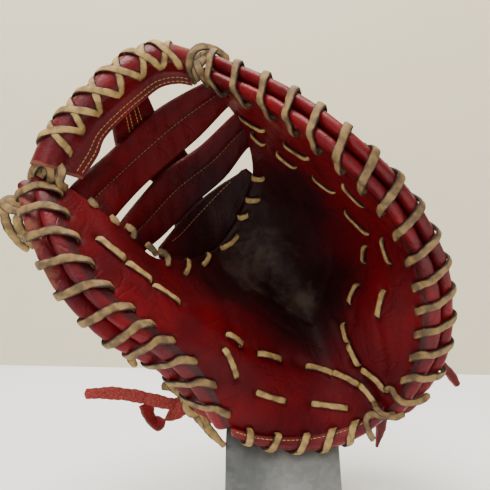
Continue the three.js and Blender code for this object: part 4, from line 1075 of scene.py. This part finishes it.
HEEL_WAY = [
    (0.1, -HEEL_LAP + 1, -HEEL_SKIN - SNUG, 0, -1),
    (0.3, HEEL_SKIN * 0.4, -HEEL_SKIN - SNUG, 0.3, -0.9),
    (0.45, HEEL_SKIN + SNUG, -HEEL_SKIN * 0.1, 1, -0.3),
    (0.6, HEEL_SKIN + SNUG, PALM_LEATHER + HEEL_PAD + HEEL_SKIN * 0.1, 1, 0.3),
    (0.75, HEEL_SKIN * 0.4, PALM_LEATHER + HEEL_PAD + HEEL_SKIN + SNUG, 0.4, 0.9),
]


def whip(name, edge, holes, way, back_at, inset=LACE_INSET, material=worn_rawhide):
    """Lace whipped round an edge: through each hole to the front, over the rim, and back in."""
    step = holes[1] - holes[0]
    end = max(holes[-1] + step, edge["least"])
    rows = []
    for here, after in zip(holes, [*holes[1:], end]):
        rows.append((here, -inset, back_at(here) + LACE_OFF + EASE, -1, 1))
        rows.append((here, -inset, -0.6 * LACE_OFF, -1, -1))
        rows += [(mix(here, after, share), *row) for share, *row in way]
    rows.append((end, -inset, back_at(end) + LACE_OFF + EASE, 0, 1))
    t, out, n, face_out, face_back = np.array(rows).T
    outward, back = edge_frame(edge, t, out)
    look = outward * face_out[:, None] + back * face_back[:, None]
    return ribbon(name, off_edge(edge, t, out, n), look, material)


def back_of(edge):
    """Depth of the back leather's outer side at the holes of an edge."""
    def deep(t):
        reach = length(slopes(t, edge["at"])[1])[..., 0]
        return back_outer(t, edge["at"] + edge["inward"] * LACE_INSET / reach)
    return deep


thumb_way = rim_way(THUMB_WELT_REACH, THUMB_BINDING_REACH)
finger_way = rim_way(FINGER_WELT_REACH, FINGER_BINDING_REACH)
stand_for(whip("thumb_rim_lace", THUMB, THUMB_HOLES, thumb_way, back_of(THUMB)),
          "lace_leather", "thumb_lace")
stand_for(whip("finger_rim_lace", FINGER, FINGER_HOLES, finger_way, back_of(FINGER)),
          "lace_leather", "finger_lace")
stand_for(whip("heel_rim_lace", HEEL, HEEL_HOLES, HEEL_WAY, lambda t: palm_thick(1, t) + HEEL_SKIN,
               HEEL_INSET, rawhide), "lace_leather", "heel_lace")

# %% Lace stitches
STITCH_WIDE = 4.9
STITCH_THICK = 1.9
# Columns: share of the way between the two holes, and height over the face in millimetres.
STITCH_ARCH = [(0.0, -3.0), (0.04, -0.6), (0.16, 0.9), (0.5, 1.3), (0.84, 0.9), (0.96, -0.6), (1.0, -3.0)]


def stitch(name, start, end):
    """One short lace from hole to hole, which rises over the face by STITCH_ARCH."""
    share, rise = np.array(STITCH_ARCH).T
    s = mix(start[0], end[0], share)
    w = mix(start[1], end[1], share)
    look = -slopes(s, w)[2]
    return ribbon(name, off_palm(s, w, -rise), look, rawhide, STITCH_WIDE, STITCH_THICK, 5)


for group, pairs in stitches.items():
    made = [stitch(f"{group}_stitch_{k}", *pair) for k, pair in enumerate(pairs)]
    joined = made[0]
    with bpy.context.temp_override(active_object=joined, selected_editable_objects=made):
        bpy.ops.object.join()
    joined.name = f"{group}_lace_stitches"
    stand_for(joined, "lace_leather")

# %% [markdown]
# ## Web
# The web hangs between two rails for each strip, from the thumb's side to the finger's side. A
# strip's place is t along the rails, q across from the outer to the inner one, and n behind.
# The loop is one piece of leather folded round a hollow nose and sewn into a flange. Its hollow
# shows at both ends, so it is a real hairpin sheet and not a solid bar.

# %% Strips between two rails
def web(rows):
    """Surface between the outer and inner rail of a strip, as a function of t, q and n."""
    outer_rows, inner_rows = rows[:, 0], rows[:, 1]

    def at(t, q, n):
        t, q, n = np.broadcast_arrays(*(np.asarray(v, float) for v in (t, q, n)))
        outer, inner = through(outer_rows, t), through(inner_rows, t)
        t0, t1 = np.maximum(t - 0.01, 0), np.minimum(t + 0.01, 1)
        run = through(outer_rows + inner_rows, t1) - through(outer_rows + inner_rows, t0)
        normal = unit(np.cross(inner - outer, run))
        normal = np.where(normal[..., 1:2] < 0, -normal, normal)
        return outer + (inner - outer) * q[..., None] + normal * n[..., None]

    return at


TUCK = 0.022
APPROACH = 7


def tuck(w, thick):
    """Where a strip's end is held: just inside the web's edge, between palm and back leather."""
    return off_palm(np.asarray(TUCK), w, palm_thick(TUCK, w) + EASE + thick / 2)


def approach(w, thick):
    """Where a strip comes free: APPROACH before the web's edge, in line with the face."""
    start = off_palm(np.asarray(0.0), w, palm_thick(0, w) + EASE + thick / 2)
    return start - unit(slopes(0.0, w)[0]) * APPROACH


# %% Web loop
# Columns: outer rail, inner rail.
LOOP_ROWS = np.array([
    [(-0.514, -0.188, 0.189), (-0.400, -0.113, 0.157)], [(-0.485, -0.175, 0.257), (-0.366, -0.088, 0.215)],
    [(-0.441, -0.156, 0.320), (-0.352, -0.063, 0.262)], [(-0.389, -0.138, 0.377), (-0.312, -0.031, 0.313)],
    [(-0.331, -0.113, 0.434), (-0.264, 0.000, 0.362)], [(-0.269, -0.075, 0.482), (-0.220, 0.025, 0.400)],
    [(-0.202, -0.038, 0.501), (-0.175, 0.050, 0.414)], [(-0.142, 0.000, 0.494), (-0.138, 0.075, 0.412)],
]) * MITT_SIZE
loop_at = web(LOOP_ROWS)


def loop_wide(t):
    """Distance between the loop's two rails."""
    return length(loop_at(t, 1, 0) - loop_at(t, 0, 0))[..., 0]


def loop_half(t, q):
    """Half thickness: a round nose, then a smooth step down to the sewn flange."""
    wide = loop_wide(t)
    at = q * wide
    nose = np.sqrt((at * (2 * LOOP_NOSE - at)).clip(0))
    flange = mix(LOOP_NOSE, LOOP_FLANGE / 2, smooth(LOOP_NOSE, 0.74 * wide, at))
    return np.where(at < LOOP_NOSE, nose, flange)


CUT_EDGE = 0.022
LOOP_HOLE_AT = 0.56
LOOP_HOLES = np.linspace(0.1, 0.9, 7)
loop_fronts = loop_at(LOOP_HOLES, LOOP_HOLE_AT, -loop_half(LOOP_HOLES, LOOP_HOLE_AT))


def web_loop():
    """A hairpin sheet: down the front face, round the nose and up the back face."""
    t = np.linspace(0.004, 0.996, 170)[:, None]
    arm = eased(40, 0.9)[None, :]
    q = np.concatenate([1 - arm, arm[:, 1:]], 1) ** 1.35
    sign = np.concatenate([-np.ones_like(arm), np.ones_like(arm[:, 1:])], 1)
    half = loop_half(t, q + 0 * t)
    wall = np.minimum(LOOP_WALL, half * 0.98 + 0.02)
    swell = 0.5 * np.sin(40 * t) * np.exp(-((q - 0.4) / 0.2) ** 2)
    outer = loop_at(t, q, sign * (half + swell))
    pull = np.where(q * loop_wide(t) < LOOP_NOSE, 1.0, 0.0)
    inner_q = q + pull * LOOP_WALL / loop_wide(t) * (1 - q * loop_wide(t) / LOOP_NOSE)
    inner = loop_at(t, inner_q, sign * np.maximum(half - wall, 0.05))
    rings = np.concatenate([outer, inner[:, ::-1]], 1)
    # Painted shade round the loop's lace holes.
    holes = np.exp(-(nearest(rings, loop_fronts) / HOLE_WIDE) ** 2)
    cut = np.exp(-(np.minimum(t, 1 - t) / CUT_EDGE) ** 2)
    return loft("web_loop_leather", rings, rim_red, ridge=0.3 + 1.6 * cut + 0 * holes, hole=holes)


stand_for(web_loop(), "red_leather", "web_loop")

# %% Crossed lace of the loop
# Columns: share of the way to the next hole, and degrees round the nose.
LOOP_BEND = [(0.36, -76), (0.66, -26), (0.88, 26), (0.97, 76)]
LOOP_SHOULDER = (LOOP_HOLE_AT + 0.3) / 2
LOOP_RISE_AT, LOOP_FALL_AT = 0.16, 0.94
LOOP_LACE_WIDE = 5.3
LOOP_SINK = 0.5
HOLE_RISE = 0.4


def loop_place(t, q, side, face_out, face_back, off):
    """Place off the loop's skin on one side, and the way that a lace looks there."""
    skin = loop_at(t, q, side * loop_half(t, q))
    outward = unit(loop_at(t, 0, 0) - loop_at(t, 1, 0))
    back = unit(loop_at(t, q, 1) - loop_at(t, q, 0))
    look = outward * face_out + back * face_back
    return skin + unit(look) * off, look


def over_nose(t0, t1, lift):
    """Places round the nose: a shoulder, a circle by LOOP_BEND, and the other shoulder."""
    places = [shoulder(mix(t0, t1, LOOP_RISE_AT), -1, lift)]
    for share, degrees in LOOP_BEND:
        t, turn = mix(t0, t1, share), math.radians(degrees)
        places.append(loop_place(t, LOOP_NOSE / loop_wide(t), 0, math.cos(turn), math.sin(turn),
                                 LOOP_NOSE + LACE_THICK / 2 - LOOP_SINK + lift))
    return places + [shoulder(mix(t0, t1, LOOP_FALL_AT), 1, lift)]


def shoulder(t, side, lift):
    """Place between the hole and the nose, lying on the skin."""
    skin = loop_at(t, LOOP_SHOULDER, side * loop_half(t, LOOP_SHOULDER))
    look = unit(loop_at(t, LOOP_SHOULDER, 1) - loop_at(t, LOOP_SHOULDER, 0)) * side
    return skin + look * (SNUG + lift), look


def loop_hole(t, side):
    """Place where a lace dips into a hole."""
    skin = loop_at(t, LOOP_HOLE_AT, side * loop_half(t, LOOP_HOLE_AT))
    outward = unit(loop_at(t, 0, 0) - loop_at(t, 1, 0))
    back = unit(loop_at(t, LOOP_HOLE_AT, 1) - loop_at(t, LOOP_HOLE_AT, 0))
    return skin + back * side * HOLE_RISE, back * side - outward


def loop_lace(name, pairs, lift):
    """One lace that goes round the nose from each hole to the next."""
    places = []
    for t0, t1 in pairs:
        places += [loop_hole(t0, 1), loop_hole(t0, -1), *over_nose(t0, t1, lift)]
    places.append(loop_hole(pairs[-1][1], 1))
    at, look = (np.array([place[k] for place in places]) for k in (0, 1))
    return ribbon(name, at, look, rawhide, LOOP_LACE_WIDE)


onward = list(zip(LOOP_HOLES[:-1], LOOP_HOLES[1:]))
homeward = [(b, a) for a, b in onward[::-1]]
under = loop_lace("web_loop_under_lace", onward, 0)
over = loop_lace("web_loop_over_lace", homeward, LACE_THICK * 0.4)
stand_for(under, "lace_leather", "web_loop_lace")
stand_for(over, "lace_leather")

# %% Bars, base and post
# Columns: outer rail, inner rail.
UPPER_BAR = np.array([
    [(-0.356, 0.038, 0.235), (-0.278, 0.088, 0.143)], [(-0.282, 0.075, 0.310), (-0.202, 0.138, 0.217)],
    [(-0.210, 0.100, 0.370), (-0.120, 0.163, 0.291)],
]) * MITT_SIZE
LOWER_BAR = np.array([
    [(-0.287, 0.125, 0.118), (-0.217, 0.188, 0.030)], [(-0.218, 0.200, 0.203), (-0.147, 0.275, 0.108)],
    [(-0.126, 0.250, 0.272), (-0.057, 0.313, 0.188)],
]) * MITT_SIZE
BASE_RAIL = np.array([
    (-0.232, 0.140, -0.006), (-0.201, 0.260, 0.044), (-0.154, 0.350, 0.106), (-0.085, 0.388, 0.165),
    (-0.010, 0.388, 0.212),
]) * MITT_SIZE
POST = np.array([
    [(-0.345, 0.160, 0.246), (-0.237, 0.168, 0.342)], [(-0.309, 0.235, 0.215), (-0.209, 0.240, 0.311)],
    [(-0.271, 0.310, 0.182), (-0.174, 0.320, 0.271)], [(-0.230, 0.380, 0.140), (-0.140, 0.415, 0.216)],
]) * MITT_SIZE
SEAM_AT = 0.48
BASE_SEAM = 0.16
BAR_ROUND = 2.2
PLATE_ROUND = 1.8


def bar_rows(rows, thumb, finger):
    """The rails of a bar, with its two ends tucked between the palm and the back leather."""
    ends = [np.array([place(np.array(w), BAR_THICK) for w in pair])
            for place, pair in ((tuck, thumb), (approach, thumb), (approach, finger), (tuck, finger))]
    return np.stack([ends[0], ends[1], *rows, ends[2], ends[3]])


def bar(name, rows):
    """Folded strip: half a wave for the padded fold above the seam, a flatter one below it."""
    at = web(rows)
    t, q = np.meshgrid(np.linspace(0, 1, 120), eased(60, 0.7), indexing="ij")
    fold = np.sin(np.pi * (q / SEAM_AT).clip(0, 1)) ** 0.6
    lap = np.sin(np.pi * ((q - SEAM_AT) / (1 - SEAM_AT)).clip(0, 1)) ** 0.5
    bulge = BAR_THICK * (0.02 + 0.46 * fold + 0.3 * lap)
    folds = 0.35 * np.sin(55 * t + 9 * q) * np.sin(31 * t) * (fold + lap)
    # Painted shade along the seam's groove.
    groove = np.exp(-((q - SEAM_AT) / 0.025) ** 2) * 0.7
    rings = sheet_rings(at(t, q, -bulge - folds), at(t, q, BAR_THICK * 0.5 + 0 * t), BAR_ROUND)
    # The bar takes the pocket's stain and painted shade where it lies near those spots.
    return loft(name, rings, web_red, hole=both_faces(groove), stain=spots(rings, STAIN_AND_SHADE_SPOTS)), at


upper_bar, upper_at = bar("upper_web_bar", bar_rows(UPPER_BAR, (0.115, 0.265), (0.95, 0.84)))
lower_bar, lower_at = bar("lower_web_bar", bar_rows(LOWER_BAR, (0.285, 0.365), (0.81, 0.7)))
stand_for(upper_bar, "palm_leather", "web_upper_bar")
stand_for(lower_bar, "palm_leather", "web_lower_bar")

BASE_BEND = 2 / 3


def base_seat(t):
    """Where along the web's edge the base's foot is held."""
    return mix(0.4, 0.655, t)


base_inner = approach(base_seat(np.linspace(0, 1, 5)), BASE_THICK)
base_panel = web(np.stack([BASE_RAIL, base_inner], 1))


def base_at(t, q, n):
    """The base: a flat panel, then by a soft step the foot that is tucked behind the palm."""
    t, q, n = np.broadcast_arrays(*(np.asarray(v, float) for v in (t, q, n)))
    flat = base_panel(t, np.minimum(q / BASE_BEND, 1), n)
    seat = base_seat(t)
    tucked = off_palm(TUCK + 0 * t, seat, palm_thick(TUCK, seat) + EASE + BASE_THICK / 2 + n)
    return mix(flat, tucked, smooth(BASE_BEND, 1, q)[..., None])


def plate(name, at, thick, seam=None):
    """Flat strip whose front swells by half a wave across it, with a groove at its seam."""
    t, q = np.meshgrid(np.linspace(0, 1, 110), eased(50, 0.6), indexing="ij")
    swell = 0.6 * np.sin(np.pi * q) ** 0.5 + 0.2 * np.sin(37 * t + 11 * q)
    rings = sheet_rings(at(t, q, -thick / 2 - swell), at(t, q, thick / 2 + 0 * t), PLATE_ROUND)
    # Painted shade along the seam's groove, where there is one.
    groove = 0 * t if seam is None else np.exp(-((q - seam) / 0.03) ** 2) * 0.7
    # The strip takes the pocket's stain and painted shade where it lies near those spots.
    return loft(name, rings, web_red, hole=both_faces(groove), stain=spots(rings, STAIN_AND_SHADE_SPOTS))


stand_for(plate("web_base_panel", base_at, BASE_THICK, BASE_SEAM), "palm_leather", "web_base")
post_head = loop_at(np.array([0.4, 0.64]), 0.86, (LOOP_FLANGE + POST_THICK) / 2 + GAP)
post_foot = base_at(np.array([0.3, 0.6]), 0.13, (BASE_THICK + POST_THICK) / 2 + 3 * EASE)
post_at = web(np.stack([post_head, *POST, post_foot]))
stand_for(plate("web_post_strip", post_at, POST_THICK), "palm_leather", "web_post")

# %% [markdown]
# ## Thread
# The machine seams are rows of short stitches of gold or brown thread. Instances along a curve would do,
# but one small lozenge, made once and copied to every place by array arithmetic, gives a whole row as one
# mesh.

# %% Rows of thread
FLANGE_SEAMS = (0.83, 0.93)
POST_SEAMS = (0.34, 0.43, 0.57, 0.66)
STITCH_PITCH = 3.3
STITCH_LONG = 2.5
THREAD_WIDE = 0.75
thread_turn = np.arange(6) / 6 * 2 * np.pi
lozenge = np.array([[(x, r * math.cos(a), r * math.sin(a)) for a in thread_turn]
                    for x, r in ((-0.5, 0.25), (-0.36, 0.9), (0.36, 0.9), (0.5, 0.25))])


def thread_row(points, look):
    """Rings of a row of stitches along a line, lying on the side that looks towards `look`."""
    walked = travelled(points, 0)
    at = np.arange(STITCH_PITCH / 2, walked[-1], STITCH_PITCH)
    centre = np.stack([np.interp(at, walked, points[:, k]) for k in range(3)], -1)
    up = unit(np.stack([np.interp(at, walked, look[:, k]) for k in range(3)], -1))
    run = unit(np.stack([np.interp(at, walked, np.gradient(points[:, k])) for k in range(3)], -1))
    side = unit(np.cross(up, run))
    size = np.array([STITCH_LONG, THREAD_WIDE / 2, THREAD_WIDE / 2])
    x, y, z = np.moveaxis(lozenge * size, -1, 0)[..., None]
    return (centre[:, None, None] + run[:, None, None] * x + side[:, None, None] * y
            + up[:, None, None] * z)


def sew(name, rows, material, slot):
    """All stitches of several rows as one mesh of closed lozenges."""
    rings = np.concatenate(rows)
    count, n, m, _ = rings.shape
    i, j = np.meshgrid(np.arange(n - 1), np.arange(m), indexing="ij")
    a, b = i * m + j, i * m + (j + 1) % m
    sides = np.stack([a, a + m, b + m, b], -1).reshape(-1, 4)
    caps = np.array([[0, 1, 2, 3], [0, 3, 4, 5]])
    faces = np.concatenate([sides, caps, caps[:, ::-1] + (n - 1) * m])
    faces = (faces[None] + np.arange(count)[:, None, None] * n * m).reshape(-1, 4)
    piece = mesh_piece(name, placed(rings.reshape(-1, 3)), faces, material)
    stand_for(piece, slot)


def face_line(at, t, q, n):
    """Points on a strip's front face and the way that the face looks there."""
    points = at(t, q, n)
    return points, unit(at(t, q, n - 1) - points)


t = np.linspace(0.03, 0.97, 160)
loop_rows = []
for q in FLANGE_SEAMS:
    for side in (-1, 1):
        lift = side * (LOOP_FLANGE / 2 + 0.1)
        points = loop_at(t, q, lift)
        loop_rows.append(thread_row(points, side * (loop_at(t, q, 1) - loop_at(t, q, 0))))
sew("loop_flange_thread", loop_rows, gold_thread, "red_leather")
t = np.linspace(0.14, 0.86, 120)
sew("web_bar_thread", [thread_row(*face_line(at, t, SEAM_AT, -0.5)) for at in (upper_at, lower_at)],
    dark_thread, "palm_leather")
base_line = face_line(base_at, t, BASE_SEAM, -BASE_THICK / 2 - 0.6)
sew("web_base_thread", [thread_row(*base_line)], dark_thread, "palm_leather")
t = np.linspace(0.0, 0.45, 60)
post_rows = [thread_row(*face_line(post_at, t, q, -POST_THICK / 2 - 0.8))
             for q in POST_SEAMS]
sew("web_post_thread", post_rows, gold_thread, "palm_leather")
t = np.linspace(HEEL_FROM + 0.02, HEEL_TO - 0.03, 120)
heel_line = off_edge(HEEL, t, -HEEL_LAP + 2, -HEEL_SKIN - 0.1)
sew("heel_thread", [thread_row(heel_line, -slopes(np.ones_like(t), t)[2])], gold_thread, "red_leather")

# %% [markdown]
# ## Free ends
# The laces end in knots and tails. Each follows the few points of its solid, tapers to its cut end, and
# turns its face as the photograph shows. Simulated strips would hang by chance, so their places are listed
# one by one. The long red one is suede on one side.

# %% Tails
THUMB_TAIL = at_pixel([(30, 214, -4), (22, 207, -12), (11, 202, -15), (4, 207, -14), (5, 217, -12),
                       (9, 229, -11), (18, 242, -10), (29, 251, -9)])
THUMB_KNOT = at_pixel([(34, 216, -4), (25, 212, -12), (18, 218, -14), (20, 229, -13), (28, 240, -10),
                       (36, 247, -6)])
HEEL_TAIL = np.array([
    (-0.195, -0.034, -0.328), (-0.191, 0.050, -0.359), (-0.173, 0.112, -0.388), (-0.152, 0.145, -0.422),
    (-0.126, 0.160, -0.460), (-0.091, 0.175, -0.503), (-0.054, 0.180, -0.541)]) * MITT_SIZE
STRAP_TAIL = at_pixel([(203, 400, 24), (190, 399, 30), (178, 404, 30), (166, 403, 26), (150, 399, 24),
                       (130, 395, 21), (108, 393, 19), (84, 394, 17)])
STRAP_FOLD = at_pixel([(203, 402, 24), (188, 405, 27), (175, 413, 26), (163, 421, 24), (155, 423, 22),
                       (149, 415, 22), (146, 403, 23)])
SIDE_TAIL = np.array([
    (0.493, 0.085, -0.281), (0.510, 0.062, -0.302), (0.530, 0.030, -0.326), (0.548, 0.010, -0.357),
]) * MITT_SIZE
LOW_TAIL = np.array([
    (0.374, 0.176, -0.450), (0.370, 0.163, -0.480), (0.362, 0.150, -0.508), (0.354, 0.140, -0.536),
]) * MITT_SIZE
SMALL_TAIL = at_pixel([(142, 338, -12), (134, 349, -6), (131, 358, -2), (136, 367, 2)])


def tail(name, points, material, wide, tip=0.6, start=0.8, turn=(0, 0), up=0.3):
    """A free end: from `start` on its width tapers to a share `tip`, by a soft step, and its face
    turns by degrees from end to end."""
    t = np.linspace(0, 1, len(points) * 2 + 1)
    angle = np.radians(mix(turn[0], turn[1], t))
    look = np.stack([np.sin(angle), -np.cos(angle), np.full_like(t, up)], -1)
    return ribbon(name, through(points, t), look, material, wide * mix(1, tip, smooth(start, 1, t)))


TAIL_WIDE = LACE_WIDE + 1
STRAP_LACE_WIDE = 9.6
stand_for(tail("thumb_lace_end", THUMB_TAIL, rawhide, TAIL_WIDE, 0.6, 0.6), "lace_leather", "thumb_tail")
stand_for(tail("thumb_lace_knot", THUMB_KNOT, rawhide, TAIL_WIDE, 0.8), "lace_leather")
stand_for(tail("heel_lace_end", HEEL_TAIL, rawhide, LACE_WIDE * 1.2), "lace_leather", "heel_tail")
stand_for(tail("strap_lace_end", STRAP_TAIL, red_lace, STRAP_LACE_WIDE, 0.75, 0.85,
               turn=(180, 180), up=-0.5), "red_leather", "strap_tail")
stand_for(tail("strap_lace_fold", STRAP_FOLD, red_lace, STRAP_LACE_WIDE * 1.15, 1.0,
               turn=(170, 20)), "red_leather")
stand_for(tail("side_lace_end", SIDE_TAIL, dark_red_lace, LACE_WIDE * 1.3, turn=(30, 20)),
          "red_leather", "side_tail")
stand_for(tail("low_lace_end", LOW_TAIL, dark_red_lace, LACE_WIDE * 1.8, 0.2, 0.35, turn=(40, 30)),
          "red_leather", "low_tail")
stand_for(tail("small_lace_end", SMALL_TAIL, rawhide, LACE_WIDE), "lace_leather", "small_tail")

# %% [markdown]
# ## Ties
# Short lengths of lace tie the web's ends to the rims and close the corner at the heel. They are
# placed by where they show in the photograph: either at a depth of their own, or a little before
# or behind the palm that carries them. Wrapping them by a modifier would need a target for each.

# %% Ties at the ends of the web loop
# Each row: pixel across, pixel down, depth behind the mitt's middle plane in millimetres.
LOOP_TIES = {
    "thumb_tip_tie": [(34, 207, -16), (24, 211, -20), (12, 210, -20), (3, 204, -16), (8, 199, -12),
                      (20, 201, -9)],
    "thumb_end_tie_a": [(31, 182, -22), (33, 170, -30), (41, 162, -34), (49, 167, -34),
                        (51, 177, -30), (48, 190, -24)],
    "thumb_end_tie_d": [(36, 187, -20), (39, 177, -26), (42, 168, -28), (46, 171, -28), (45, 188, -20)],
    "thumb_end_tie_b": [(48, 158, -18), (57, 162, -27), (62, 172, -32), (60, 183, -31), (68, 190, -22)],
    "thumb_end_tie_c": [(38, 188, -20), (43, 174, -28), (52, 169, -30), (58, 179, -29), (56, 192, -24)],
    "finger_end_tie_a": [(197, 84, 8), (190, 70, -5), (191, 55, -10), (200, 47, -7), (214, 49, 3),
                         (230, 60, 14)],
    "finger_end_tie_b": [(197, 50, 0), (197, 63, -9), (202, 75, -9), (209, 86, 0)],
    "finger_end_tie_c": [(206, 50, 2), (203, 60, -7), (196, 70, -8), (199, 82, -2)],
}


def tie(name, rows, material):
    """A strip through pixels with depths of their own, its face to the viewer."""
    points = at_pixel(rows)
    look = np.broadcast_to([0.1, -1.0, 0.25], points.shape)
    return ribbon(name, points, look, material)


for name, rows in LOOP_TIES.items():
    stand_for(tie(name, rows, worn_rawhide), "lace_leather")

# %% Ties over the palm's edge and at the heel's corner
# Each row: pixel across, pixel down, height in front of the palm there in millimetres.
PALM_TIES = {
    "bar_tie_a": [(89, 199, -3), (92, 202, 0), (95, 205, 0), (97, 208, -3)],
    "bar_tie_b": [(110, 216, -3), (113, 219, 0), (116, 222, 0), (117, 226, -3)],
    "bar_tie_c": [(125, 226, -4), (130, 228, -1), (134, 232, 0), (133, 239, -3)],
    "bar_tie_d": [(146, 243, -4), (150, 247, -1), (154, 251, -1), (157, 256, -4)],
    "bar_tie_e": [(158, 251, -5), (164, 253, -2), (168, 258, -1), (168, 267, -3)],
    "heel_cross_a": [(384, 391, -2), (391, 389, 3), (397, 398, 4), (406, 403, 3), (420, 401, 1),
                     (430, 394, -6)],
    "heel_cross_b": [(374, 402, -2), (377, 409, 3), (385, 415, 4), (396, 417, 2), (405, 413, -4)],
    "heel_cross_c": [(396, 413, 0), (384, 417, 5), (371, 414, 4), (366, 421, 5), (369, 432, 4),
                     (374, 441, -4)],
}


def palm_tie(name, rows):
    """A strip that rides at a height in front of the palm, found under each of its pixels."""
    s, w = np.array([under_pixel(row[:2]) for row in rows]).T
    depth = palm(s, w)[:, 1] - np.array([row[2] for row in rows]) - LACE_THICK / 2
    points = at_pixel([(row[0], row[1], deep) for row, deep in zip(rows, depth)])
    look = np.broadcast_to([0.0, -1.0, 0.2], points.shape)
    return ribbon(name, points, look, worn_rawhide, STITCH_WIDE, STITCH_THICK)


for name, rows in PALM_TIES.items():
    stand_for(palm_tie(name, rows), "lace_leather")

# %% Knot behind the heel
KNOT_TIES = {
    "heel_knot_a": [(161, 386, 10), (170, 387, 14), (180, 393, 18), (188, 401, 19), (194, 410, 18),
                    (200, 418, 20)],
    "heel_knot_b": [(196, 392, 22), (188, 397, 15), (186, 407, 13), (193, 414, 13), (201, 409, 15),
                    (202, 399, 22)],
    "heel_knot_c": [(184, 408, 22), (192, 404, 14), (200, 410, 13), (205, 420, 16), (208, 428, 22)],
}
for name, rows in KNOT_TIES.items():
    stand_for(tie(name, rows, rawhide), "lace_leather")

# %% [markdown]
# ## Stand
# The stand is galvanised sheet: zinc that froze on the steel in flat crystals, each a slightly
# different grey, with fine scratches. Its solid has the right shape and stays, so only a finish
# is made. Voronoi cells are crystals as they freeze, which is why they fit here.

# %% Galvanised sheet
SPANGLE = 0.004
DRIFT = 0.0167
SCRATCH = 0.00111
PAINTED_LIGHT_FROM, PAINTED_LIGHT_TO = 0.015, 0.04


def galvanised():
    """Zinc on steel: each crystal has its grey, and painted light makes the sheet lighter to the finger
    side.
    """
    material, tree = new_material("galvanised_steel")
    where = node(tree, "ShaderNodeTexCoord").outputs["Object"]
    drift = node(tree, "ShaderNodeTexNoise", {"Vector": where, "Scale": 1 / DRIFT, "Detail": 3.0})
    cells = node(tree, "ShaderNodeTexVoronoi", {"Vector": where, "Scale": 1 / SPANGLE})
    crystal = node(tree, "ShaderNodeSeparateColor", {"Color": cells.outputs["Color"]})
    tone = node(tree, "ShaderNodeMath", {0: crystal.outputs[0], 1: drift.outputs["Fac"]}, operation="ADD")
    along = node(tree, "ShaderNodeSeparateXYZ", {"Vector": where}).outputs[0]
    # Painted light: darker to the thumb side and lighter to the finger side.
    side = ramp(tree, along, PAINTED_LIGHT_FROM, PAINTED_LIGHT_TO)
    dark = blend(tree, side, linear("#5f5e5a"), linear("#848379"))
    light = blend(tree, side, linear("#6a6964"), linear("#92918a"))
    colour = blend(tree, ramp(tree, tone.outputs[0], 0.0, 1.8), dark, light)
    rough = ramp(tree, crystal.outputs[1], 0.0, 1.0, 0.32, 0.45)
    scratch = node(tree, "ShaderNodeTexNoise",
                   {"Vector": where, "Scale": 1 / SCRATCH, "Detail": 2.0})
    bump = node(tree, "ShaderNodeBump", {"Height": scratch.outputs["Fac"], "Strength": 0.2,
                                         "Distance": 0.0001})
    surface_out(tree, node(tree, "ShaderNodeBsdfPrincipled", {
        "Base Color": colour, "Metallic": 0.9, "Roughness": rough, "Normal": bump.outputs[0]}))
    return material


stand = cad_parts["display_stand"]
stand.data.materials.clear()
stand.data.materials.append(galvanised())
